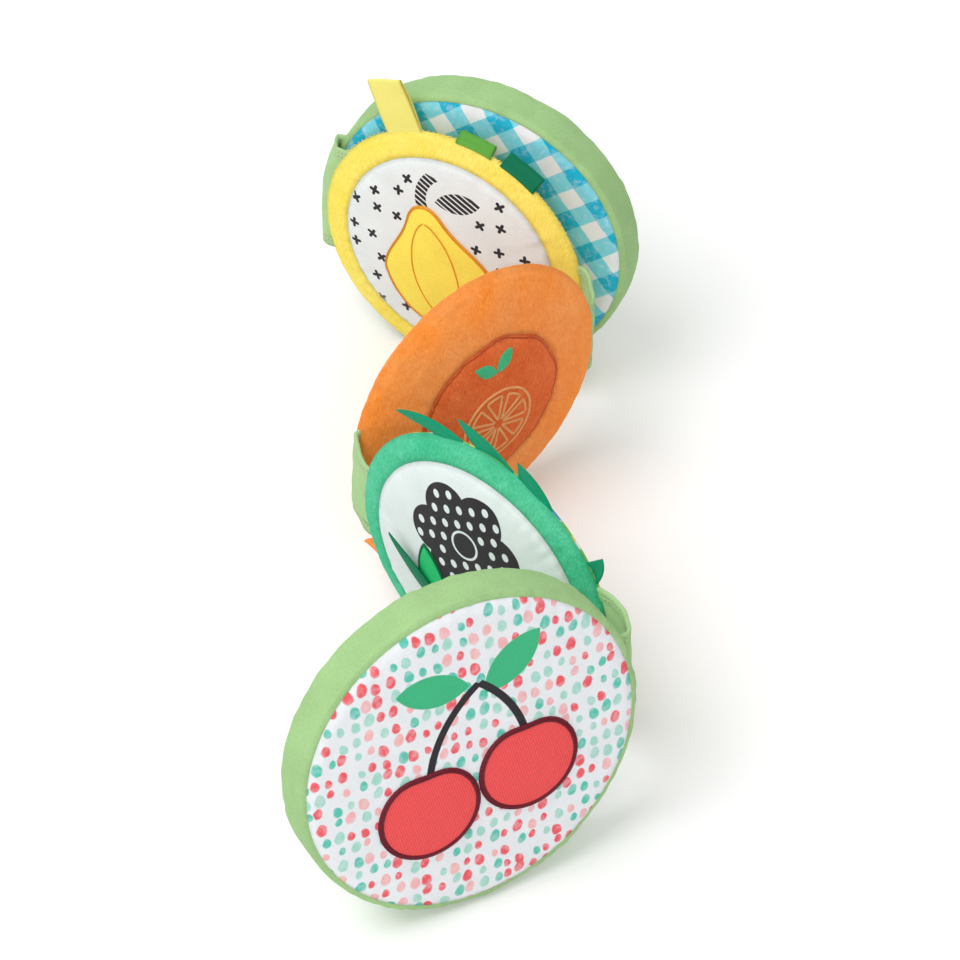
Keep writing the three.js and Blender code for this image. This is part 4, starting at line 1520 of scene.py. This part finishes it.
class TUMMY_OT_yellow_disc(bpy.types.Operator):
    """Build the yellow disc: yellow plush, printed crosses and a padded pear"""

    bl_idname = "tummy_roll.yellow_disc"
    bl_label = "Yellow disc"

    def execute(self, context):
        sizes, c = context.scene.roll_sizes, context.scene.roll_colours
        disc = Disc("yellow")
        panel, rim = sizes.yellow_panel, sizes.middle_radius
        looks = [
            (print_cloth("pear_print", pear_picture(c), panel), "pear_print", False),
            (yellow_plush(c, "yellow_plush", (panel, rim)), "yellow_plush", True),
            (yellow_plush(c, "yellow_back", (rim,)), "yellow_plush", True),
        ]
        surface, edge, _ = middle_disc(
            disc, sizes, sizes.yellow_thickness, panel, 71, looks, 0.0, 0.07 * MM, 1.2 * MM
        )
        self.add_pear(disc, surface, c)
        self.add_rim_stitches(disc, edge)
        return {"FINISHED"}

    def add_pear(self, disc, surface, c):
        """The padded pear with its amber edge and two quilted lines, given in millimetres."""
        heights, bow, reach, drop = (0.3, 1.0, 2.4), 15, 38, 3
        kind = {"roughness": 0.8, "sheen": 0.15, "sheen_tint": c.pear}
        skin = new_material("pear_yellow", weave_paint(c.pear, 0.0006, 0.03), 0.1 * MM, **kind)
        outline, node = turned(pear_outline(), *PEAR), "pear_patch"
        add_patch(disc, "padded_pear", outline, surface, heights, skin, "pear_yellow", [node], 24)
        amber = thread("amber_thread", c.pear_edge)
        add_cord(disc, "pear_edge", outline, surface, (1.9, 1.3, 0.3), amber, "pear_yellow")
        top = PatchTop(surface, outline, *(h * MM for h in heights))
        t = np.linspace(-1, 1, 60)
        stitches = {"pitch": 0.9 * MM, "closed": False, "slant": 0.8}
        for name, sign in (("left", -1), ("right", 1)):
            across = sign * (bow * (1 - t**2) ** 0.7 + 0.5) * MM
            line = turned(np.stack([across, (reach * t - drop) * MM], axis=1), *PEAR)
            add_cord(disc, f"pear_seam_{name}", line, top, (1.0, 0.5, 0.0), amber, "pear_yellow", **stitches)

    def add_rim_stitches(self, disc, rim):
        """Small pale stitches that close the rim between the ribbons and the web."""
        first, last, apart = 28, 152, 1.45
        rings, sides = 5, 6
        spokes = np.arange(sides) / sides * TURN
        points, faces = [], []
        draw = np.random.RandomState(5)
        for a in np.radians(np.arange(first, last, apart)):
            out = np.array([math.cos(a), math.sin(a), 0.0])
            along = np.array([-out[1], out[0], 0.0])
            at = rim[int(round(a / TURN * len(rim))) % len(rim)] + out * 0.35 * MM + [0, 0, 0.2 * MM]
            slant = along * 0.55 + np.array([0, 0, 1.0]) * (1 + 0.2 * draw.uniform(-1, 1))
            slant /= np.linalg.norm(slant)
            side = np.cross(out, slant)
            base = len(points)
            for share in np.linspace(-1, 1, rings):
                swell = 0.30 * MM * math.sqrt(max(0.05, 1 - share**2))
                mid = at + slant * share * MM - out * share**2 * 0.7 * MM
                points += [disc.to_row(mid + side * u + out * v) for u, v in circle(swell, spokes)]
            for start in range(base, base + (rings - 1) * sides, sides):
                for q in range(sides):
                    n = (q + 1) % sides
                    faces.append((start + q, start + n, start + sides + n, start + sides + q))
            end = base + (rings - 1) * sides
            faces += [tuple(range(base + sides - 1, base - 1, -1)), tuple(range(end, end + sides))]
        maps = [(0.0003 * (v % 7), 0.0002 * (v % 5)) for face in faces for v in face]
        mesh = mesh_of("rim_stitches", points, faces, maps)
        add_piece("rim_stitches", mesh, thread("pale_thread", srgb("f7f0a8")), "yellow_plush", disc.body)


class TUMMY_OT_back_disc(bpy.types.Operator):
    """Build the back disc: light green band round a gingham panel"""

    bl_idname = "tummy_roll.back_disc"
    bl_label = "Back disc"

    def execute(self, context):
        sizes, c = context.scene.roll_sizes, context.scene.roll_colours
        disc = Disc("back")
        seam = sizes.end_radius - sizes.end_corner
        cloth = print_cloth("gingham", gingham_picture(c), seam, 0.15, 0.0001, 0.85)
        front = ("back_gingham", "gingham", "back_gingham_panel")
        end_disc(disc, sizes, c, 91, front, "back_rear", cloth)
        return {"FINISHED"}


# Webs, tags and loops


# Front disc, rear disc, side of the fold, top edge, how far the fold bulges and how much it leans in
WEBS = [
    ("front", "green", 1, 0.130, 0.0065, 0.2),
    ("green", "orange", -1, 0.113, 0.0055, 0.5),
    ("orange", "yellow", 1, 0.113, 0.004, 0.3),
    ("yellow", "back", -1, 0.140, 0.006, 0.55),
]
WEB_FOOT = 0.062
# How far from a disc's middle plane its webs are sewn on
WEB_SEATS = {"front": -0.003, "back": 0.007}
# How far a web reaches into the rims
WEB_SEAM = 2.5 * MM
WEB_ROWS, WEB_COLUMNS = 30, 41


class TUMMY_OT_webs(bpy.types.Operator):
    """Build the four folded webs that join the discs rim to rim"""

    bl_idname = "tummy_roll.webs"
    bl_label = "Webs"

    def execute(self, context):
        sizes, c = context.scene.roll_sizes, context.scene.roll_colours
        for k, web in enumerate(WEBS):
            self.add_web(sizes, c, *web, 110 + k)
        return {"FINISHED"}

    def end_of(self, sizes, name, side):
        """The rim's outermost point, the way out of it, the disc's radius and its height."""
        disc = Disc(name)
        radius = sizes.end_radius if name in ("front", "back") else sizes.middle_radius
        outward = disc.axes[0] * side
        rim = disc.centre + outward * radius + disc.axes[2] * WEB_SEATS.get(name, 0.0)
        return rim[:2], outward[:2] / np.linalg.norm(outward[:2]), radius, disc.centre[2]

    def add_web(self, sizes, c, front, rear, side, top, bulge, lean, seed):
        """One web with its two hems."""
        ends = [self.end_of(sizes, name, side) for name in (front, rear)]
        heights = np.linspace(top, WEB_FOOT, WEB_ROWS)
        columns = np.linspace(0, 1, WEB_COLUMNS)
        grid = np.array([self.row(ends, bulge, lean, z, columns, heights) for z in heights])
        way = normals(grid, wrap=False)
        sway = ripples(seed, grid, 0.05, 0.014) * np.sin(math.pi * columns) * 0.8 * MM
        grid = grid + way * sway[..., None]
        name = f"web_{front}_{rear}"
        start, end = [tuple(np.append(e[0], (top + WEB_FOOT) / 2)) for e in ends]
        mesh = grid_mesh(f"{name}_cloth", grid, flat_map(lengths(grid, 1), heights[:, None]), wrap=False)
        cloth = gusset_cloth("web_green", c.web, WEB_UNEVENNESS)
        web = add_piece(f"{name}_cloth", mesh, cloth, "gusset_green", None, [name], WEB_THICKNESS, 0.0)
        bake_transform(web)
        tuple(start)
        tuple(end)
        for part in ("top", "foot"):
            hem = self.hem(grid, way, part)
            chart = flat_map(lengths(hem, 1), lengths(hem)[:, None])
            mesh = grid_mesh(f"{name}_hem_{part}", hem, chart, wrap=False)
            piece = add_piece(f"{name}_hem_{part}", mesh, hem_cloth(c), "gusset_green")
            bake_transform(piece)
            tuple(start)
            tuple(end)

    def row(self, ends, bulge, lean, z, columns, heights):
        """One level line of a web, from inside one rim round the fold to inside the other."""
        share = (z - heights[-1]) / (heights[0] - heights[-1])
        fullness = bulge * (1.3 - 1.4 * lean * share)
        inner, points = [], []
        for rim, out, radius, level in ends:
            back = radius - math.sqrt(max(radius**2 - (z - level) ** 2, 0.0))
            inner.append(rim - out * (back + WEB_SEAM))
            near = rim - out * (lean * back)
            points.append([near, near + out * fullness])
        points = [points[0][0], points[0][1], points[1][1], points[1][0]]
        t = np.linspace(0, 1, 40)[:, None]
        bend = (
            (1 - t) ** 3 * points[0]
            + 3 * (1 - t) ** 2 * t * points[1]
            + 3 * (1 - t) * t**2 * points[2]
            + t**3 * points[3]
        )
        line = np.concatenate([[inner[0]], bend, [inner[1]]])
        gaps = lengths(line)
        flat = [np.interp(columns * gaps[-1], gaps, line[:, k]) for k in (0, 1)]
        return np.column_stack([*flat, np.full(len(columns), z)])

    def hem(self, grid, way, part):
        """A folded hem round the web's edge: it runs up one side, over the edge and down the other."""
        row, sign = (0, 1.0) if part == "top" else (-1, -1.0)
        edge, out, up = grid[row], way[row], np.array([0, 0, sign])
        side = [(-HEM_WIDTH, 1.15 * MM), (-HEM_WIDTH / 2, 1.25 * MM), (0.2 * MM, 1.2 * MM)]
        turns = np.linspace(0.25, 0.75, 4) * math.pi
        over = [(0.2 * MM + 0.9 * MM * math.sin(a), 1.2 * MM * math.cos(a)) for a in turns]
        path = side + over + [(height, -off) for height, off in side[::-1]]
        rows = np.array([edge + up * height + out * off for height, off in path])
        return rows if part == "top" else rows[::-1]


# Tags in the green rim: angles of the base's ends and of the tip in degrees, and the tip's rise and
# curl in millimetres
RIM_TAGS = [
    ("leaf_tag_1", 101, 115, 127, 16, 2.2),
    ("leaf_tag_2", 78, 95, 102.5, 13, -1.6),
    ("leaf_tag_3", 59, 75.5, 77, 11, 1.4),
    ("leaf_tag_4", 29, 37.5, 38, 12, -1.0),
    ("orange_tag", 200, 207, 202, 8, 0.6),
]


class TUMMY_OT_rim_tags(bpy.types.Operator):
    """Build the satin leaves and the small orange tag in the green disc's rim"""

    bl_idname = "tummy_roll.rim_tags"
    bl_label = "Rim tags"

    def execute(self, context):
        sizes, c = context.scene.roll_sizes, context.scene.roll_colours
        disc = Disc("green")
        for name, start, end, tip, rise, curl in RIM_TAGS:
            if name == "orange_tag":
                material, slot = orange_plush(c, name), "orange_plush"
            else:
                material, slot = satin("satin_green", c.satin), "satin_green"
            grid, chart, area = self.blade(sizes.middle_radius, start, end, tip, rise * MM, curl * MM)
            mesh = grid_mesh(f"{name}_blade", disc.to_row(grid), chart, wrap=False)
            shell = SATIN_THICKNESS, 0.0
            tag = add_piece(f"{name}_blade", mesh, material, slot, disc.body, [name], *shell)
        return {"FINISHED"}

    def blade(self, radius, start, end, tip, rise, curl):
        """A leaf between two curved edges that meet at its tip, rooted inside the rim.

        Gives its points, its flat map and its area.
        """

        def on_rim(degrees, reach):
            return circle(reach, np.radians([degrees]))[0]

        base = radius + 0.3 * MM
        point = on_rim(tip, radius + rise)
        blade = rise - 0.3 * MM
        shoulder = on_rim((start + tip) / 2, base + blade * 0.95)
        hollow = on_rim((end + tip) / 2, base + blade * 0.35)
        t = np.linspace(0, 1, 26)[:, None]
        left = (1 - t) ** 2 * on_rim(start, base) + 2 * t * (1 - t) * shoulder + t**2 * point
        right = (1 - t) ** 2 * on_rim(end, base) + 2 * t * (1 - t) * hollow + t**2 * point
        w = np.linspace(0, 1, 9)
        rows = left[:, None] * (1 - w[:, None]) + right[:, None] * w[:, None]
        root = [rows[:1] * (1 - k * MM / radius) for k in (4.0, 2.0)]
        rows = np.concatenate([*root, rows])
        share = np.concatenate([[0, 0], t[:, 0]])[:, None]
        belly = 0.9 * MM * (1 - (2 * w - 1) ** 2) * (1 - share)
        depth = curl * share**1.7 + belly * np.sign(curl)
        grid = np.dstack([rows, depth])
        wide = np.linalg.norm(grid[0, -1] - grid[0, 0])
        chart = flat_map(w * wide, lengths(grid)[:, None])
        sides = [grid[1:, 1:] - grid[:-1, :-1], grid[1:, :-1] - grid[:-1, 1:]]
        area = float(np.linalg.norm(np.cross(*sides), axis=2).sum() / 2)
        return grid, chart, round(area, 6)


# Ribbon loops in the yellow rim: angle in degrees, width and height in millimetres, backward tilt in
# degrees, and the word for their colour, material and slot
LOOPS = [
    ("ribbon_loop_yellow", 112, 25, 35, 0, "ribbon_yellow"),
    ("ribbon_loop_light_green", 80.5, 24, 5.5, 50, "ribbon_lime"),
    ("ribbon_loop_dark_green", 60, 26, 7.5, 38, "ribbon_green"),
]


class TUMMY_OT_ribbon_loops(bpy.types.Operator):
    """Build the three satin ribbon loops in the yellow disc's rim"""

    bl_idname = "tummy_roll.ribbon_loops"
    bl_label = "Ribbon loops"

    def execute(self, context):
        sizes, c = context.scene.roll_sizes, context.scene.roll_colours
        disc = Disc("yellow")
        for k, (name, angle, wide, tall, tilt, word) in enumerate(LOOPS):
            paint = self.ribbon_paint(getattr(c, word), wide * MM)
            material = new_material(word, paint, 0.05 * MM, shine=0.15)
            grid, chart = self.loop(sizes.middle_radius, angle, wide * MM, tall * MM, tilt, 130 + k)
            mesh = grid_mesh(f"{name}_ribbon", disc.to_row(grid), chart, wrap=False)
            shell = RIBBON_THICKNESS, 0.0
            piece = add_piece(f"{name}_ribbon", mesh, material, word, disc.body, [name], *shell)
            long = round(float(np.ptp(chart[..., 1])), 4)
        return {"FINISHED"}

    def ribbon_paint(self, tint, wide):
        """Fine cross threads with a tight selvedge on both edges."""

        def paint(s):
            x, y = s.parts(s.chart())
            values = {"Vector": s.at(y, x), "Colour": tint}
            values.update({"Thread pitch": 0.0007, "Slant": 0.0, "Contrast": 0.07})
            shown, height, roughness = s.cloth("Satin threads", values)
            edge = s.step(s.size(x), wide / 2 - 0.0014, wide / 2 - 0.0009, 1.0, 0.9)
            return s.scaled(shown, edge), height, roughness

        return paint

    def loop(self, radius, angle, wide, tall, tilt, seed):
        """A ribbon folded double: up the front, over a soft fold and down the back."""
        half = 1.15 * MM
        gap = half * 0.7
        up = np.linspace(-3 * MM, tall - half, 18)
        belly = np.clip(np.sin(np.clip(up, 0, None) / tall * math.pi), 0, 1) * 0.7 * MM
        front = np.stack([gap + belly, up], axis=1)
        turn = np.linspace(0, math.pi, 10)[1:-1]
        fold = np.stack([gap * np.cos(turn), tall - half + half * np.sin(turn)], axis=1)
        back = np.stack([-gap - belly * 0.6, up], axis=1)[::-1]
        path = np.concatenate([front, fold, back])
        lean = math.radians(tilt)
        depth = path[:, 0] * math.cos(lean) - path[:, 1] * math.sin(lean)
        rise = path[:, 1] * math.cos(lean) + path[:, 0] * math.sin(lean)
        across = np.linspace(-wide / 2, wide / 2, 15)
        a = math.radians(angle)
        out, side = np.array([math.cos(a), math.sin(a)]), np.array([math.sin(a), -math.cos(a)])
        sag = radius - np.sqrt(radius**2 - across**2)
        reach = radius + 0.3 * MM + rise[:, None] - sag[None, :] * np.clip(1 - rise[:, None] / (6 * MM), 0, 1)
        flat = out * reach[..., None] + side * across[None, :, None]
        ease = np.clip(rise / tall, 0, 1)[:, None]
        points = np.dstack([flat, depth[:, None] + 0 * across])
        points[..., 2] += ripples(seed, points * [1, 1, 0], 0.05, 0.02) * 0.8 * MM * ease
        return points, flat_map(across, lengths(path)[:, None])


# Lamps: name, place, size across and power in watts
LIGHTS = [
    ("key", (-1.0, -0.55, 2.2), 1.5, 30.5),
    ("fill", (0.1, -2.0, 1.6), 1.6, 15.5),
    ("rim", (-0.4, 1.8, 1.5), 1.2, 7.0),
]
WORLD_LIGHT = 0.55
FLOOR_WHITE = (0.93, 0.93, 0.93)
FLOOR_SIZE = 12.0
# The floor's own light, as the camera sees it, rises to plain white between two distances
FLOOR_LIFT = 0.05
LIFT_FROM, LIFT_TO = 0.2, 1.0
# Camera: focal length in millimetres, tilt and roll in degrees, and the point that it looks at
CAMERA_LENS = 117.79
CAMERA_SHIFT = (0.0155, 0.0100)
CAMERA_TILT, CAMERA_ROLL = 44.39, 0.4
CAMERA_AIM = (-0.0053, 0.0797, 0.0)
CAMERA_DISTANCE = 1.920


class TUMMY_OT_stage(bpy.types.Operator):
    """Set up the pale floor, the soft light and the camera"""

    bl_idname = "tummy_roll.stage"
    bl_label = "Stage"

    def execute(self, context):
        self.add_floor()
        self.add_lights()
        self.add_world(context.scene)
        self.add_camera(context.scene)
        context.scene.view_settings.view_transform = "Standard"
        return {"FINISHED"}

    def add_floor(self):
        """A wide pale floor that stays white round the object's shadow."""
        side = FLOOR_SIZE / 2
        points = [(-side, -side, 0), (side, -side, 0), (side, side, 0), (-side, side, 0)]
        floor = bpy.data.objects.new("floor", mesh_of("floor", points, [(0, 1, 2, 3)]))
        bpy.context.scene.collection.objects.link(floor)
        material = bpy.data.materials.new("floor_white")
        material.use_nodes = True
        material.node_tree.nodes.clear()
        s = Shader(material.node_tree)
        path = s.node("LightPath").outputs
        seen = s.most(path["Is Camera Ray"], path["Is Glossy Ray"])
        away = s.length(s.vector("MULTIPLY", s.place(), (1.0, 0.6, 0.0)))
        far = s.step(away, LIFT_FROM, LIFT_TO, FLOOR_LIFT, 1.0)
        values = {
            "Base Color": FLOOR_WHITE,
            "Roughness": s.step(s.noise(s.place(), 0.4, 1.0), 0.0, 1.0, 0.85, 0.95),
            "Specular IOR Level": 0.0,
            "Emission Color": WHITE,
            "Emission Strength": s.times(seen, far),
        }
        s.node("OutputMaterial", {"Surface": s.node("BsdfPrincipled", values).outputs[0]})
        floor.data.materials.append(material)
        floor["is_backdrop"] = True

    def add_lights(self):
        """Soft round lamps that look at the object."""
        for name, place, size, power in LIGHTS:
            data = bpy.data.lights.new(name, "AREA")
            data.shape = "DISK"
            data.size = size
            data.energy = power
            lamp = bpy.data.objects.new(name, data)
            lamp.location = place
            aim = Vector((0.0, 0.0, 0.08)) - Vector(place)
            lamp.rotation_euler = aim.to_track_quat("-Z", "Y").to_euler()
            bpy.context.scene.collection.objects.link(lamp)

    def add_world(self, scene):
        """Even light from all round, that shows as white."""
        world = bpy.data.worlds.new("studio")
        world.use_nodes = True
        world.node_tree.nodes.clear()
        s = Shader(world.node_tree)
        path = s.node("LightPath").outputs
        seen = s.most(path["Is Camera Ray"], path["Is Transmission Ray"])
        strength = s.plus(s.times(seen, 1.0 - WORLD_LIGHT), WORLD_LIGHT)
        background = s.node("Background", {"Color": WHITE, "Strength": strength})
        s.node("OutputWorld", {"Surface": background.outputs[0]})
        scene.world = world

    def add_camera(self, scene):
        """A camera that looks down at the object from its front."""
        data = bpy.data.cameras.new("camera")
        data.lens = CAMERA_LENS
        data.shift_x, data.shift_y = CAMERA_SHIFT
        camera = bpy.data.objects.new("camera", data)
        tilt, roll = math.radians(CAMERA_TILT), math.radians(CAMERA_ROLL)
        back = Vector((0, -math.cos(tilt), math.sin(tilt)))
        up = Vector((0, math.sin(tilt), math.cos(tilt)))
        right = Vector((math.cos(roll), 0, 0)) + up * math.sin(roll)
        turn = Matrix((right, back.cross(right), back)).transposed()
        place = Vector(CAMERA_AIM) + back * CAMERA_DISTANCE
        camera.matrix_world = Matrix.Translation(place) @ turn.to_4x4()
        scene.collection.objects.link(camera)
        scene.camera = camera


class TUMMY_PT_roll(bpy.types.Panel):
    """Lists the builders of the roll's pieces"""

    bl_idname = "TUMMY_PT_roll"
    bl_label = "Tummy time roll"
    bl_space_type = "VIEW_3D"
    bl_region_type = "UI"
    bl_category = "Tummy roll"

    def draw(self, context):
        for builder in BUILDERS:
            self.layout.operator(builder.bl_idname, text=builder.bl_label)
        for values in (context.scene.roll_sizes, context.scene.roll_colours):
            box = self.layout.box()
            for key in type(values).__annotations__:
                box.prop(values, key)


BUILDERS = [
    TUMMY_OT_stage,
    TUMMY_OT_front_disc,
    TUMMY_OT_green_disc,
    TUMMY_OT_orange_disc,
    TUMMY_OT_yellow_disc,
    TUMMY_OT_back_disc,
    TUMMY_OT_webs,
    TUMMY_OT_rim_tags,
    TUMMY_OT_ribbon_loops,
]
CLASSES = [RollSizes, RollColours, *BUILDERS, TUMMY_PT_roll]


def register():
    for entry in CLASSES:
        bpy.utils.register_class(entry)
    bpy.types.Scene.roll_sizes = bpy.props.PointerProperty(type=RollSizes)
    bpy.types.Scene.roll_colours = bpy.props.PointerProperty(type=RollColours)


def unregister():
    del bpy.types.Scene.roll_colours
    del bpy.types.Scene.roll_sizes
    for entry in reversed(CLASSES):
        bpy.utils.unregister_class(entry)


def main():
    register()
    for builder in BUILDERS:
        area, name = builder.bl_idname.split(".")
        getattr(getattr(bpy.ops, area), name)()
    boxes = {"cad": CAD_BOX, "visual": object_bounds()}
    numbers = {key: [list(corner) for corner in box] for key, box in boxes.items()}


if __name__ == "__main__":
    main()
